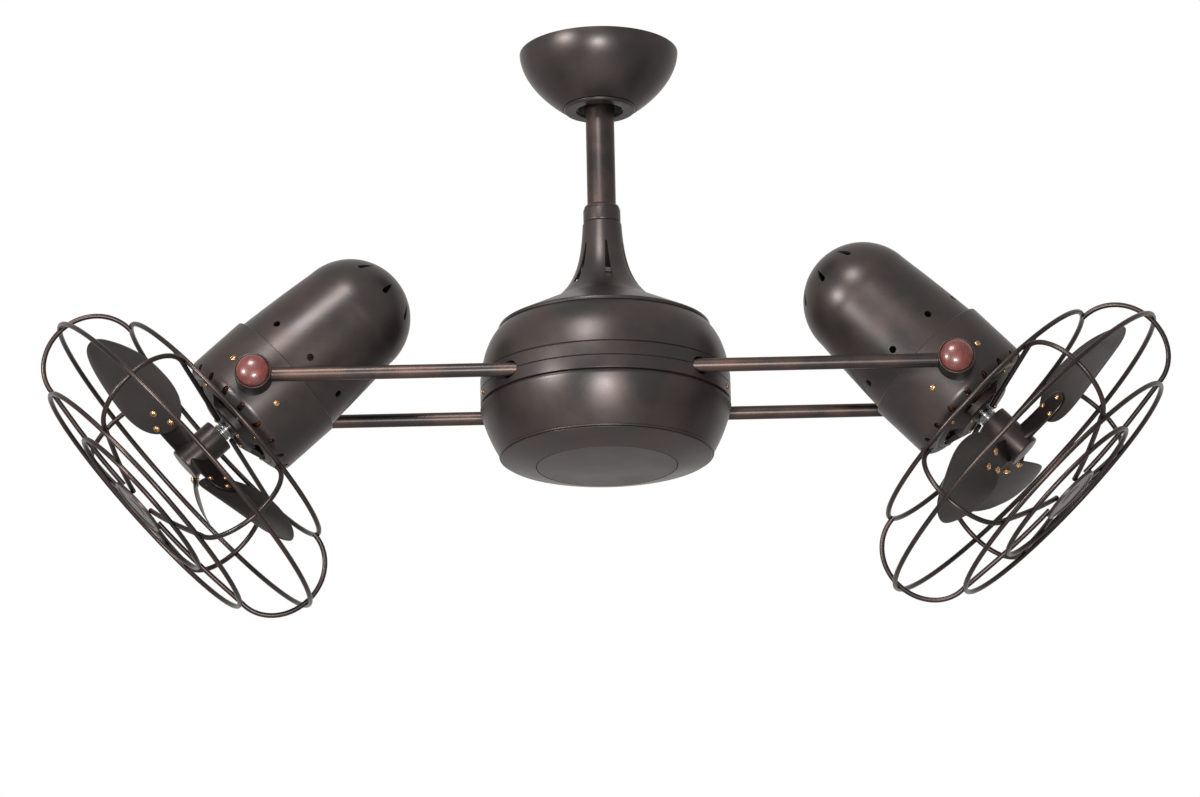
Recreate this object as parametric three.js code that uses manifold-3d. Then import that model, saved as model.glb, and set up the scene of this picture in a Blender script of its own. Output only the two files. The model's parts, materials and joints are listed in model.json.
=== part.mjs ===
// A twin head ceiling fan: two caged fan heads on a pair of long rods that turn about a central housing,
// hung from the ceiling by a ball, a downrod and a flared neck. Millimetres, +Z up, origin on the ceiling.
// The rotor is drawn about the crossing of the rods' plane and the vertical axis. A head is drawn with +Z
// forward along its own shaft, from the pivot, and +Y along the pivot.

import * as THREE from 'three';
import { mergeVertices } from 'three/addons/utils/BufferGeometryUtils.js';
import Module from 'manifold-3d';

const wasm = await Module();
wasm.setup();

// Clearances
const FIT = 0.3; // between pieces that seat on or in each other
const RUN = 1.0; // between pieces that turn past each other
const CUT_PAST = 5; // how far a cutter runs past a wall

// Drop and reach
const DROP = 333.5; // ceiling to the plane of the arm rods
const PIVOT_REACH = 320.5; // vertical axis to a head's pivot
const LEFT_TILT = 42; // degrees below level at which each head rests
const RIGHT_TILT = 46;

// Hanger bracket, ball and liner
const PLATE_LENGTH = 112;
const PLATE_WIDTH = 40;
const PLATE_THICKNESS = 2.5;
const BOX_SCREW_SPACING = 88.9; // slots for the screws of the ceiling box
const SLOT_LENGTH = 11;
const SLOT_WIDTH = 5.2;
const STRAP_WIDTH = 22;
const BALL_RADIUS = 23;
const BALL_DROP = 30; // ceiling to the centre of the ball
const BALL_TOP = 10; // flat top above the centre
const BALL_BOTTOM = 16; // flat bottom below it
const LINER_THICKNESS = 1.8;
const SEAT_TOP = 5; // the liner and seat start this far below the centre
const LINER_HEIGHT = 8;
const BALL_PLAY = 0.5;
const BRACKET_NECK_RADIUS = 29;
const BRACKET_NECK_BORE = 21;

// Canopy and the ring that holds it up
const CANOPY_RADIUS = 74.5;
const CANOPY_DEPTH = 54.5;
const CANOPY_MOUTH = 35.5;
const CANOPY_BULGE = 56; // pulls the bowl's curve outward
const CANOPY_BULGE_DEPTH = 40;
const CANOPY_SIDE_DEPTH = 20;
const CANOPY_WALL = 1.5;
const RING_RADIUS = 34;
const RING_BORE = 22;
const RING_FLANGE = 2.6;
const RING_WALL = 2;
const RING_HEIGHT = 9;

// Downrod and its collar
const PIPE_RADIUS = 13.35;
const PIPE_BORE = 10.4;
const HANGER_PIN_RADIUS = 3;
const COLLAR_RADIUS = 17.4;
const COLLAR_HEIGHT = 17;
const COLLAR_SPIGOT = 8;
const COLLAR_ROUND = 1.6;

// Neck cover: a flared trumpet that runs into a shallow cone with a turned-down rim
const NECK_TOP = 164; // heights above the rods' plane
const NECK_ROOT = 16.9; // radius that the flare starts from
const FLARE_HEIGHT = 88; // where the flare meets the cone
const FLARE_RADIUS = 46.3;
const FLARE_LENGTH = 24; // how slowly the flare opens
const RIM_RADIUS = 98.6;
const RIM_HEIGHT = 62;
const RIM_LIP = 2.4;
const SHELL_WALL = 2;
const NECK_SLOTS = 6;
const NECK_SLOT_TOP = 142;
const NECK_SLOT_BOTTOM = 101;
const NECK_SLOT_NARROW = 2;
const NECK_SLOT_WIDE = 7;
const NECK_SLOT_TURN = 10; // degrees from the front

// Spindle, bearings and slip ring
const SPINDLE_RADIUS = 10;
const SPINDLE_BORE = 5;
const SPINDLE_FOOT = -48;
const SOCKET_RADIUS = 20;
const SOCKET_BASE = 62;
const SOCKET_TOP = 114;
const SOCKET_SHELF = 70; // the downrod stands here
const SEAT_RING_HEIGHT = 4;
const BEARING_RADIUS = 21;
const BEARING_WIDTH = 12;
const UPPER_BEARING_BASE = 22;
const LOWER_BEARING_BASE = -28;
const SLIP_RING_RADIUS = 15.5;
const SLIP_RING_BASE = 40;
const SLIP_RING_HEIGHT = 18;
const SLIP_TRACKS = 3;
const SLIP_GROOVE_WIDTH = 2.4;
const SLIP_GROOVE_DEPTH = 1;
const NUT_WIDTH = 30;
const NUT_HEIGHT = 9;

// Central housing
const BAND_RADIUS = 115.8;
const HOUSING_WALL = 2.2;
const SHOULDER_RADIUS = 98.2; // top edge of the upper housing
const SHOULDER_BULGE_RADIUS = 112.5; // point that pulls the shoulder's curve outward
const SHOULDER_BULGE_HEIGHT = 44;
const UPPER_GROOVE_HEIGHT = 13.2;
const UPPER_GROOVE_HALF = 0.9;
const LOWER_GROOVE_HEIGHT = -14.4;
const LOWER_GROOVE_WIDTH = 2.6;
const GROOVE_DEPTH = 2.6;
const UPPER_GROOVE_DEPTH = 1.1;
const BOWL_BULGE_RADIUS = 111.5;
const BOWL_BULGE_HEIGHT = -38;
const BEAD_RADIUS = 97.9;
const BEAD_HEIGHT = -61;
const POCKET_CLEARANCE = 1.9; // round the rods where they enter
const BOTTOM_HEIGHT = -71.9;
const CENTER_CAP_RADIUS = 65;
const PLATE_WALL = 1.8;

// Arm carrier
const CARRIER_THICKNESS = 10;
const CARRIER_HEIGHT = -4; // middle of the web, below the rods' plane
const CARRIER_ARM = 26; // half width of the bar that reaches the housing
const CARRIER_BOSS_RADIUS = 28;
const CARRIER_BORE = 16;
const CLAMP_RADIUS = 12;
const CLAMP_LENGTH = 110;
const CLAMP_BRIDGE = 30; // half width of the bar that reaches the rods
const CARRIER_BRIDGE_CORNER = 42; // where the two bars meet

// Arm rods, hubs and wooden caps
const ROD_RADIUS = 6.35;
const ROD_SPACING = 75.2; // axis to each rod
const HUB_RADIUS = 17;
const HUB_BACK = 67.2; // from the shaft's axis
const HUB_FACE = 89;
const HUB_RIM = 1.4;
const CAP_RECESS = 2.2;
const CAP_DOME = 8.5;
const ROD_INSERT = 8.5; // rod end to pivot axis
const PIVOT_PIN_RADIUS = 5;
const PIVOT_PIN_END = 83;

// Head housings
const HEAD_RADIUS = 65;
const HEAD_WALL = 2.8;
const HEAD_BACK = -33;
const HEAD_FRONT = 31;
const HEAD_ROUND = 11; // fillet of the front edge
const HEAD_MOUTH = 51;
const FRONT_SLOTS = 18;
const FRONT_SLOT_LENGTH = 11;
const FRONT_SLOT_WIDTH = 4.6;
const SHELL_OVERLAP = 6;
const DOME_RADIUS = 55.5;
const TAIL = -170;
const TAIL_WALL = 2.2;
const VENT_HOLES = 8;
const VENT_HOLE_RADIUS = 3.4;
const VENT_HOLE_DEPTH = 16;
const VENT_HOLE_SIDES = 6;
const VENT_HOLE_PLACE = -52;
const VENT_TURN = 27.5; // degrees from the head's upper side
const TAIL_SLOTS = 8;
const TAIL_SLOT_LENGTH = 18;
const TAIL_SLOT_WIDTH = 5;
const TAIL_SLOT_DEPTH = 8; // the cutter runs this deep, past the faceted wall
const TAIL_SLOT_LEAN = 46; // degrees off the head's axis
const TAIL_SLOT_FACET = 24; // degrees of the dome that a slot lies in

// Motor
const STATOR_BACK = -22;
const STATOR_FRONT = 12;
const STATOR_BORE = 33;
const COIL_OUTER = 50;
const COIL_INNER = 37;
const COIL_FRONT = 27;
const COIL_ROUND = 4;
const ARMATURE_RADIUS = 32;
const SHAFT_RADIUS = 5;
const SHAFT_BACK = -44;
const MOTOR_BEARING_RADIUS = 11;
const MOTOR_BEARING_WIDTH = 7;
const BELL_WALL = 2.4;
const BELL_WINDOWS = 4;
const BELL_WINDOW_INNER = 31;
const BELL_WINDOW_OUTER = 45;
const BELL_WINDOW_ANGLE = 60; // degrees of arc
const BELL_LAND = 28; // radius of the flat that the cage is screwed to
const REAR_BELL_FACE = -36;

// Blades and their hub
const FAN_HUB_RADIUS = 16;
const FAN_HUB_BACK = 50;
const FAN_HUB_FRONT = 93;
const SHAFT_SET_BACK = 8; // the shaft ends this far inside the hub
const BLADES = 3;
const BLADE_TIP = 147;
const BLADE_ROOT = 34;
const BLADE_CHORD = 78;
const BLADE_THICKNESS = 1.6;
const BLADE_PLACE = 84; // along the shaft
const BLADE_CAMBER = 5;
const ROOT_PITCH = 42; // degrees
const TIP_PITCH = 24;
const LEFT_BLADE_TURN = 33;
const RIGHT_BLADE_TURN = 20;
const BRACKET_REACH = 64;
const BRACKET_WIDTH = 30;
const BRACKET_SINK = 5; // its root inside the hub
const BRACKET_TAPER = 8; // narrower by this at the hub
const BRACKET_TIP = 0.6; // share of the width at the end
const BRACKET_THICKNESS = 2.2;
const BRACKET_GAP = 0.7; // under a blade's twisted back

// Wire cage
const WIRE_RADIUS = 2.35;
const CAGE_BACK = 43; // rear ring, along the shaft
const CAGE_BACK_RADIUS = 129;
const CAGE_WIDE = 93; // widest ring
const CAGE_WIDE_RADIUS = 172;
const CAGE_FRONT = 142;
const CAGE_FRONT_RADIUS = 130;
const CAGE_INNER = 146.5;
const CAGE_INNER_RADIUS = 78.5;
const CAGE_NOSE = 149;
const CAGE_RIBS = 6;
const RIB_TURN = 12; // degrees from the head's upper side
const SPOKE_TURN = 65;
const SPOKE_INNER = 17;
const MEDALLION_RADIUS = 29.5;
const MEDALLION_THICKNESS = 3;
const RIB_END_RADIUS = 23.5; // under the medallion
const WELD = 1.6; // depth to which crossing wires sink into each other

// Facets
const BODY_SIDES = 20; // canopy, neck and central housing
const HEAD_SIDES = 18; // everything that nests in a head's housing
const CORE_SIDES = 12; // downrod, spindle and small turned pieces
const ROD_SIDES = 12;
const WIRE_SIDES = 5;
const RIB_TURN_STEPS = 6; // round the side of the cage
const RIB_RUN_STEPS = 3; // over its front
const RING_STEPS = [3, 4, 3, 2]; // of each ring from rib to rib, rear ring first

const radians = THREE.MathUtils.degToRad;

const bronze = new THREE.MeshStandardMaterial({ color: 0x332d2a, roughness: 0.45, metalness: 0.6 });
const darkBronze = new THREE.MeshStandardMaterial({ color: 0x2a2523, roughness: 0.5, metalness: 0.6 });
const steel = new THREE.MeshStandardMaterial({ color: 0x9a9a98, roughness: 0.3, metalness: 1 });
const zinc = new THREE.MeshStandardMaterial({ color: 0x8b8f90, roughness: 0.45, metalness: 0.9 });
const brass = new THREE.MeshStandardMaterial({ color: 0xb98d52, roughness: 0.3, metalness: 1 });
const mahogany = new THREE.MeshStandardMaterial({ color: 0x4a1712, roughness: 0.18, metalness: 0 });
const ironCore = new THREE.MeshStandardMaterial({ color: 0x3a3c3e, roughness: 0.6, metalness: 0.7 });
const copper = new THREE.MeshStandardMaterial({ color: 0x8a4f2c, roughness: 0.4, metalness: 0.8 });
const nylon = new THREE.MeshStandardMaterial({ color: 0x1c1c1d, roughness: 0.6, metalness: 0 });

// Solids

/** A solid from a closed three.js geometry, turned right side out where its faces point in. */
function solid(geometry) {
  const bare = geometry.clone();
  for (const name of Object.keys(bare.attributes)) {
    if (name !== 'position') bare.deleteAttribute(name);
  }
  const merged = mergeVertices(bare, 1e-3);
  const points = merged.attributes.position;
  const corners = [new THREE.Vector3(), new THREE.Vector3(), new THREE.Vector3()];
  const faces = [];
  let volume = 0;
  for (let i = 0; i < merged.index.count; i += 3) {
    const face = [0, 1, 2].map((k) => merged.index.getX(i + k));
    if (new Set(face).size < 3) continue;
    corners.forEach((corner, k) => corner.fromBufferAttribute(points, face[k]));
    volume += corners[0].dot(corners[1].clone().cross(corners[2]));
    faces.push(face);
  }
  if (volume < 0) faces.forEach((face) => face.reverse());
  return new wasm.Manifold(new wasm.Mesh({
    numProp: 3,
    vertProperties: new Float32Array(points.array),
    triVerts: new Uint32Array(faces.flat()),
  }));
}

/** The three.js geometry of a solid. */
function surface(body) {
  const mesh = body.getMesh();
  const geometry = new THREE.BufferGeometry();
  geometry.setAttribute('position', new THREE.BufferAttribute(new Float32Array(mesh.vertProperties), 3));
  geometry.setIndex(new THREE.BufferAttribute(new Uint32Array(mesh.triVerts), 1));
  geometry.computeVertexNormals();
  return geometry;
}

function joined(...bodies) {
  return bodies.flat().reduce((whole, body) => whole.add(body));
}

function cut(body, ...tools) {
  return tools.flat().reduce((rest, tool) => rest.subtract(tool), body);
}

/** A body of revolution about +Z from [radius, height] points; a ring's profile is closed here. */
function turned(points, sides = CORE_SIDES) {
  const profile = points.map(([radius, height]) => new THREE.Vector2(radius, height));
  const first = profile[0];
  const last = profile[profile.length - 1];
  if (first.x > 0 || last.x > 0) profile.push(first.clone());
  return solid(new THREE.LatheGeometry(profile, sides).rotateX(Math.PI / 2));
}

/** A flat-ended ring or disc about +Z. */
function collar(inner, outer, low, high, sides = CORE_SIDES) {
  return turned([[inner, low], [outer, low], [outer, high], [inner, high]], sides);
}

/** A round bar from one height to another along an axis, moved to its place. */
function bar(radius, low, high, { sides = 12, axis = 'z', at = [0, 0, 0] } = {}) {
  const geometry = new THREE.CylinderGeometry(radius, radius, high - low, sides);
  geometry.translate(0, (low + high) / 2, 0);
  if (axis === 'z') geometry.rotateX(Math.PI / 2);
  if (axis === 'x') geometry.rotateZ(-Math.PI / 2);
  return solid(geometry.translate(...at));
}

/** Points along a quadratic curve, both ends included. */
function bend(start, pull, end, steps) {
  const curve = new THREE.QuadraticBezierCurve(
    new THREE.Vector2(...start), new THREE.Vector2(...pull), new THREE.Vector2(...end));
  return curve.getPoints(steps).map((point) => [point.x, point.y]);
}

/** A point at some distance from a centre in the radius and height plane, by degrees from outward. */
function around(radius, height, size, degrees) {
  return [radius + size * Math.cos(radians(degrees)), height + size * Math.sin(radians(degrees))];
}

/** Points along an arc in the radius and height plane. */
function arc(radius, height, size, from, to, steps) {
  const turn = (i) => from + ((to - from) * i) / steps;
  return Array.from({ length: steps + 1 }, (_, i) => around(radius, height, size, turn(i)));
}

/** A round-ended slot's outline, long side along X. */
function slotShape(length, width) {
  const half = (length - width) / 2;
  const shape = new THREE.Shape();
  shape.absarc(half, 0, width / 2, -Math.PI / 2, Math.PI / 2);
  shape.absarc(-half, 0, width / 2, Math.PI / 2, (3 * Math.PI) / 2);
  return shape;
}

/** A drop's outline, long side along X, with its round end towards -X. */
function dropShape(length, width) {
  const shape = new THREE.Shape();
  shape.absarc(width / 2 - length / 2, 0, width / 2, Math.PI / 2, (3 * Math.PI) / 2);
  shape.lineTo(length / 2, -width / 10);
  shape.lineTo(length / 2, width / 10);
  return shape;
}

/** An outline in X and Y raised from one height to another. */
function prism(shape, low, high, curveSegments = 4) {
  const options = { depth: high - low, bevelEnabled: false, curveSegments };
  return new THREE.ExtrudeGeometry(shape, options).translate(0, 0, low);
}

/** Cutting tools spaced evenly about Z, each a geometry drawn at angle zero on +X. */
function ringOf(count, startDegrees, draw) {
  return Array.from({ length: count }, (_, i) =>
    solid(draw(i).rotateZ(radians(startDegrees + (360 * i) / count))));
}

/** A round wire along a path; open ends are flat. */
function wire(path, steps, radius = WIRE_RADIUS, sides = WIRE_SIDES) {
  const section = new THREE.Shape(Array.from({ length: sides }, (_, i) => {
    const angle = (2 * Math.PI * i) / sides;
    return new THREE.Vector2(radius * Math.cos(angle), radius * Math.sin(angle));
  }));
  return solid(new THREE.ExtrudeGeometry(section, { steps, extrudePath: path }));
}

/** A closed body through sections of equal point counts, closed by a fan at each end. */
function lofted(sections) {
  const count = sections[0].length;
  const centres = [sections[0], sections[sections.length - 1]].map((section) =>
    section.reduce((sum, point) => sum.add(point), new THREE.Vector3()).divideScalar(count));
  const points = [...sections.flat(), ...centres];
  const index = [];
  for (let row = 0; row + 1 < sections.length; row += 1) {
    for (let i = 0; i < count; i += 1) {
      const next = (i + 1) % count;
      const [a, b] = [row * count + i, row * count + next];
      index.push(a, b, b + count, a, b + count, a + count);
    }
  }
  const last = (sections.length - 1) * count;
  for (let i = 0; i < count; i += 1) {
    const next = (i + 1) % count;
    index.push(sections.flat().length, next, i);
    index.push(sections.flat().length + 1, last + i, last + next);
  }
  const geometry = new THREE.BufferGeometry().setFromPoints(points);
  geometry.setIndex(index);
  return solid(geometry);
}

/** A named piece in the scene graph. */
function piece(group, name, body, material) {
  const mesh = new THREE.Mesh(surface(body), material);
  mesh.name = name;
  group.add(mesh);
}

// Ceiling mount

function hangerBracket() {
  const outline = new THREE.Shape();
  const corner = PLATE_WIDTH / 2;
  outline.absarc(PLATE_LENGTH / 2 - corner, 0, corner, -Math.PI / 2, Math.PI / 2);
  outline.absarc(corner - PLATE_LENGTH / 2, 0, corner, Math.PI / 2, (3 * Math.PI) / 2);
  const plate = solid(prism(outline, -PLATE_THICKNESS, 0, 3));
  const slots = [-1, 1].map((side) => solid(prism(slotShape(SLOT_LENGTH, SLOT_WIDTH), -10, 10, 1)
    .translate((side * BOX_SCREW_SPACING) / 2, 0, 0)));
  const seatRadius = BALL_RADIUS + LINER_THICKNESS + 2 * BALL_PLAY;
  const neckTop = -BALL_DROP - SEAT_TOP + 1;
  const seatTop = THREE.MathUtils.radToDeg(Math.asin((neckTop + BALL_DROP) / seatRadius));
  const seatFoot = -THREE.MathUtils.radToDeg(Math.acos(BRACKET_NECK_BORE / seatRadius));
  const neck = turned([
    [BRACKET_NECK_BORE, -CANOPY_DEPTH], [BRACKET_NECK_RADIUS, -CANOPY_DEPTH], [BRACKET_NECK_RADIUS, neckTop],
    ...arc(0, -BALL_DROP, seatRadius, seatTop, seatFoot, 3),
  ], BODY_SIDES);
  const straps = [-1, 1].map((side) => {
    const strap = new THREE.Shape();
    const outer = BRACKET_NECK_RADIUS;
    strap.moveTo(outer - PLATE_THICKNESS, neckTop - PLATE_THICKNESS);
    strap.lineTo(outer, neckTop - PLATE_THICKNESS);
    strap.lineTo(outer + 4, -PLATE_THICKNESS / 2);
    strap.lineTo(outer + 4 - PLATE_THICKNESS, -PLATE_THICKNESS / 2);
    const body = prism(strap, -STRAP_WIDTH / 2, STRAP_WIDTH / 2).rotateX(Math.PI / 2);
    return solid(side > 0 ? body : body.rotateZ(Math.PI));
  });
  return joined(neck, cut(plate, slots), straps);
}

function ballLiner() {
  const inner = BALL_RADIUS + BALL_PLAY;
  const outer = inner + LINER_THICKNESS;
  const low = -SEAT_TOP - LINER_HEIGHT;
  const points = [inner, outer].map((radius, side) => [0, 1, 2].map((i) => {
    const drop = side ? low + (LINER_HEIGHT * i) / 2 : -SEAT_TOP - (LINER_HEIGHT * i) / 2;
    return [Math.sqrt(radius * radius - drop * drop), drop - BALL_DROP];
  }));
  return turned(points.flat(), BODY_SIDES);
}

function canopy() {
  const outside = new THREE.CubicBezierCurve(
    new THREE.Vector2(CANOPY_RADIUS, 0), new THREE.Vector2(CANOPY_RADIUS - 1, -CANOPY_SIDE_DEPTH),
    new THREE.Vector2(CANOPY_BULGE, -CANOPY_BULGE_DEPTH), new THREE.Vector2(CANOPY_MOUTH, -CANOPY_DEPTH));
  const steps = 4;
  const outer = outside.getPoints(steps);
  const inner = outer.map((point, i) => {
    const tangent = outside.getTangent(i / steps);
    return [point.x + tangent.y * CANOPY_WALL, point.y - tangent.x * CANOPY_WALL];
  });
  inner[0][1] = 0;
  const ringHole = BRACKET_NECK_RADIUS + FIT + RING_WALL + FIT;
  inner[inner.length - 1] = [ringHole, -CANOPY_DEPTH + CANOPY_WALL];
  const foot = [ringHole, -CANOPY_DEPTH];
  return turned([...outer.map((point) => [point.x, point.y]), foot, ...inner.reverse()], BODY_SIDES);
}

/** The ring nut that closes the canopy against the bracket's neck. */
function canopyRing() {
  const top = -CANOPY_DEPTH - FIT;
  const bore = BRACKET_NECK_RADIUS + FIT;
  const outside = [
    [RING_BORE, top - RING_FLANGE], [RING_RADIUS - RING_FLANGE / 2, top - RING_FLANGE], [RING_RADIUS, top],
  ];
  const wall = [[bore + RING_WALL, top], [bore + RING_WALL, top + RING_HEIGHT], [bore, top + RING_HEIGHT]];
  return turned([...outside, ...wall, [bore, top], [RING_BORE, top]], BODY_SIDES);
}

// Downrod and everything that hangs on it without turning

function hangerBall() {
  const steps = 5;
  const from = -Math.asin(BALL_BOTTOM / BALL_RADIUS);
  const to = Math.asin(BALL_TOP / BALL_RADIUS);
  const side = Array.from({ length: steps + 1 }, (_, i) => {
    const angle = from + ((to - from) * i) / steps;
    return [BALL_RADIUS * Math.cos(angle), BALL_RADIUS * Math.sin(angle) - BALL_DROP];
  });
  const bore = PIPE_RADIUS + FIT;
  const body = turned([...side, [bore, BALL_TOP - BALL_DROP], [bore, -BALL_BOTTOM - BALL_DROP]]);
  return cut(body, pinHole());
}

function pinHole() {
  const options = { axis: 'x', sides: 8, at: [0, 0, -BALL_DROP] };
  return bar(HANGER_PIN_RADIUS + FIT, -BALL_RADIUS - 1, BALL_RADIUS + 1, options);
}

function hangerPin() {
  const half = Math.sqrt(BALL_RADIUS ** 2 - (HANGER_PIN_RADIUS + FIT) ** 2) - 1;
  return bar(HANGER_PIN_RADIUS, -half, half, { axis: 'x', sides: 8, at: [0, 0, -BALL_DROP] });
}

function downrod() {
  const top = BALL_TOP - BALL_DROP + 2;
  const foot = SOCKET_SHELF + FIT - DROP;
  return cut(collar(PIPE_BORE, PIPE_RADIUS, foot, top), pinHole());
}

function neckRadius(height) {
  const opening = Math.exp(-(height - FLARE_HEIGHT) / FLARE_LENGTH);
  return NECK_ROOT + (FLARE_RADIUS - NECK_ROOT) * opening;
}

function rodCollar() {
  const low = NECK_TOP + FIT;
  const high = low + COLLAR_HEIGHT;
  const bore = PIPE_RADIUS + FIT;
  const spigot = neckRadius(NECK_TOP) - SHELL_WALL - FIT;
  const edge = arc(COLLAR_RADIUS - COLLAR_ROUND, high - COLLAR_ROUND, COLLAR_ROUND, 0, 90, 2);
  return turned([
    [bore, low - COLLAR_SPIGOT], [spigot, low - COLLAR_SPIGOT], [spigot, low],
    [COLLAR_RADIUS - 1, low], [COLLAR_RADIUS, low + 1], ...edge, [bore, high],
  ]);
}

/** Slope of the cone from the flare to the rim. */
const coneSlope = (FLARE_HEIGHT - RIM_HEIGHT) / (RIM_RADIUS - FLARE_RADIUS);

function neckCover() {
  const margin = 2;
  const middle = (NECK_SLOT_TOP + NECK_SLOT_BOTTOM) / 2;
  const rows = [NECK_TOP, NECK_SLOT_TOP + margin, middle, NECK_SLOT_BOTTOM - margin, FLARE_HEIGHT];
  const outer = rows.map((height) => [neckRadius(height), height]);
  const inner = outer.map(([radius, height]) => {
    const slope = (neckRadius(height) - NECK_ROOT) / FLARE_LENGTH;
    const length = Math.hypot(1, slope);
    return [radius - SHELL_WALL / length, height - (SHELL_WALL * slope) / length];
  });
  inner[0] = [outer[0][0] - SHELL_WALL, NECK_TOP];
  const rim = [[RIM_RADIUS, RIM_HEIGHT], [RIM_RADIUS, RIM_HEIGHT - RIM_LIP]];
  const inRadius = RIM_RADIUS - SHELL_WALL;
  const underside = RIM_HEIGHT + coneSlope * SHELL_WALL - SHELL_WALL;
  const inside = [[inRadius, RIM_HEIGHT - RIM_LIP], [inRadius, underside]];
  const body = turned([...outer, ...rim, ...inside, ...inner.reverse()], BODY_SIDES);
  const slot = () => {
    const shape = new THREE.Shape();
    shape.moveTo(NECK_SLOT_BOTTOM, -NECK_SLOT_WIDE / 2);
    shape.lineTo(NECK_SLOT_TOP, -NECK_SLOT_NARROW / 2);
    shape.lineTo(NECK_SLOT_TOP, NECK_SLOT_NARROW / 2);
    shape.lineTo(NECK_SLOT_BOTTOM, NECK_SLOT_WIDE / 2);
    return prism(shape, -FLARE_RADIUS, -NECK_ROOT / 2).rotateY(-Math.PI / 2);
  };
  return cut(body, ringOf(NECK_SLOTS, NECK_SLOT_TURN - 90, slot));
}

/** Hollow spindle with the downrod's socket on top and a ring that the neck cover rests on. */
function spindle() {
  const seatHeight = SOCKET_TOP;
  const seatRadius = neckRadius(seatHeight) - SHELL_WALL - FIT - 0.3;
  const bore = PIPE_RADIUS + FIT;
  return turned([
    [SPINDLE_BORE, SPINDLE_FOOT], [SPINDLE_RADIUS, SPINDLE_FOOT],
    [SPINDLE_RADIUS, UPPER_BEARING_BASE + BEARING_WIDTH + FIT],
    [SPINDLE_RADIUS + 2, UPPER_BEARING_BASE + BEARING_WIDTH + FIT],
    [SPINDLE_RADIUS + 2, SOCKET_BASE], [SOCKET_RADIUS, SOCKET_BASE],
    [SOCKET_RADIUS, seatHeight - SEAT_RING_HEIGHT], [seatRadius, seatHeight - SEAT_RING_HEIGHT],
    [seatRadius, seatHeight], [bore, seatHeight], [bore, SOCKET_SHELF], [SPINDLE_BORE, SOCKET_SHELF],
  ]);
}

function spindleNut() {
  const high = LOWER_BEARING_BASE - FIT;
  const hex = new THREE.CylinderGeometry(NUT_WIDTH / Math.sqrt(3), NUT_WIDTH / Math.sqrt(3), NUT_HEIGHT, 6);
  const body = solid(hex.rotateX(Math.PI / 2).translate(0, 0, high - NUT_HEIGHT / 2));
  return cut(body, bar(SPINDLE_RADIUS + FIT, high - NUT_HEIGHT - 1, high + 1, { sides: CORE_SIDES }));
}

/** Drum with a track for each supply wire, parted by grooves, that carries the current into the rotor. */
function slipRing() {
  const bore = SPINDLE_RADIUS + 2 + FIT;
  const pitch = SLIP_RING_HEIGHT / SLIP_TRACKS;
  const root = SLIP_RING_RADIUS - SLIP_GROOVE_DEPTH;
  const grooves = Array.from({ length: SLIP_TRACKS - 1 }, (_, i) => {
    const middle = SLIP_RING_BASE + pitch * (i + 1);
    const [low, high] = [middle - SLIP_GROOVE_WIDTH / 2, middle + SLIP_GROOVE_WIDTH / 2];
    return [[SLIP_RING_RADIUS, low], [root, low], [root, high], [SLIP_RING_RADIUS, high]];
  }).flat();
  const high = SLIP_RING_BASE + SLIP_RING_HEIGHT;
  return turned([
    [bore, SLIP_RING_BASE], [SLIP_RING_RADIUS, SLIP_RING_BASE], ...grooves,
    [SLIP_RING_RADIUS, high], [bore, high],
  ]);
}

// Rotor

function bearing(base) {
  return collar(SPINDLE_RADIUS + FIT, BEARING_RADIUS, base, base + BEARING_WIDTH);
}

/** Plan outline of the carrier: one bar reaches the housing's wall, the other the rods' clamps. */
function carrierShape() {
  const reach = (BAND_RADIUS - HOUSING_WALL) * Math.cos(Math.PI / BODY_SIDES) - FIT;
  const swing = Math.asin(CARRIER_ARM / reach);
  const shape = new THREE.Shape();
  shape.absarc(0, 0, reach, -swing, swing);
  shape.lineTo(CARRIER_BRIDGE_CORNER, CARRIER_ARM);
  shape.lineTo(CLAMP_BRIDGE, CARRIER_BRIDGE_CORNER);
  shape.lineTo(CLAMP_BRIDGE, ROD_SPACING);
  shape.lineTo(-CLAMP_BRIDGE, ROD_SPACING);
  shape.lineTo(-CLAMP_BRIDGE, CARRIER_BRIDGE_CORNER);
  shape.lineTo(-CARRIER_BRIDGE_CORNER, CARRIER_ARM);
  shape.absarc(0, 0, reach, Math.PI - swing, Math.PI + swing);
  shape.lineTo(-CARRIER_BRIDGE_CORNER, -CARRIER_ARM);
  shape.lineTo(-CLAMP_BRIDGE, -CARRIER_BRIDGE_CORNER);
  shape.lineTo(-CLAMP_BRIDGE, -ROD_SPACING);
  shape.lineTo(CLAMP_BRIDGE, -ROD_SPACING);
  shape.lineTo(CLAMP_BRIDGE, -CARRIER_BRIDGE_CORNER);
  shape.lineTo(CARRIER_BRIDGE_CORNER, -CARRIER_ARM);
  return shape;
}

function armCarrier() {
  const web = solid(prism(carrierShape(), CARRIER_HEIGHT - CARRIER_THICKNESS / 2,
    CARRIER_HEIGHT + CARRIER_THICKNESS / 2, 1));
  const upperTop = UPPER_BEARING_BASE + BEARING_WIDTH;
  const boss = bar(CARRIER_BOSS_RADIUS, LOWER_BEARING_BASE, upperTop, { sides: CORE_SIDES });
  const clamps = [-1, 1].map((side) => bar(CLAMP_RADIUS, -CLAMP_LENGTH / 2, CLAMP_LENGTH / 2,
    { axis: 'x', sides: ROD_SIDES, at: [0, side * ROD_SPACING, 0] }));
  const rods = [-1, 1].map((side) => bar(ROD_RADIUS + FIT, -CLAMP_LENGTH, CLAMP_LENGTH,
    { axis: 'x', sides: ROD_SIDES, at: [0, side * ROD_SPACING, 0] }));
  const seats = [UPPER_BEARING_BASE - FIT, LOWER_BEARING_BASE - 1].map((low) =>
    bar(BEARING_RADIUS + FIT, low, low + BEARING_WIDTH + 1 + FIT, { sides: CORE_SIDES }));
  const bore = bar(CARRIER_BORE, LOWER_BEARING_BASE - 1, upperTop + 1, { sides: CORE_SIDES });
  return cut(joined(web, boss, clamps), rods, seats, bore);
}

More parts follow.
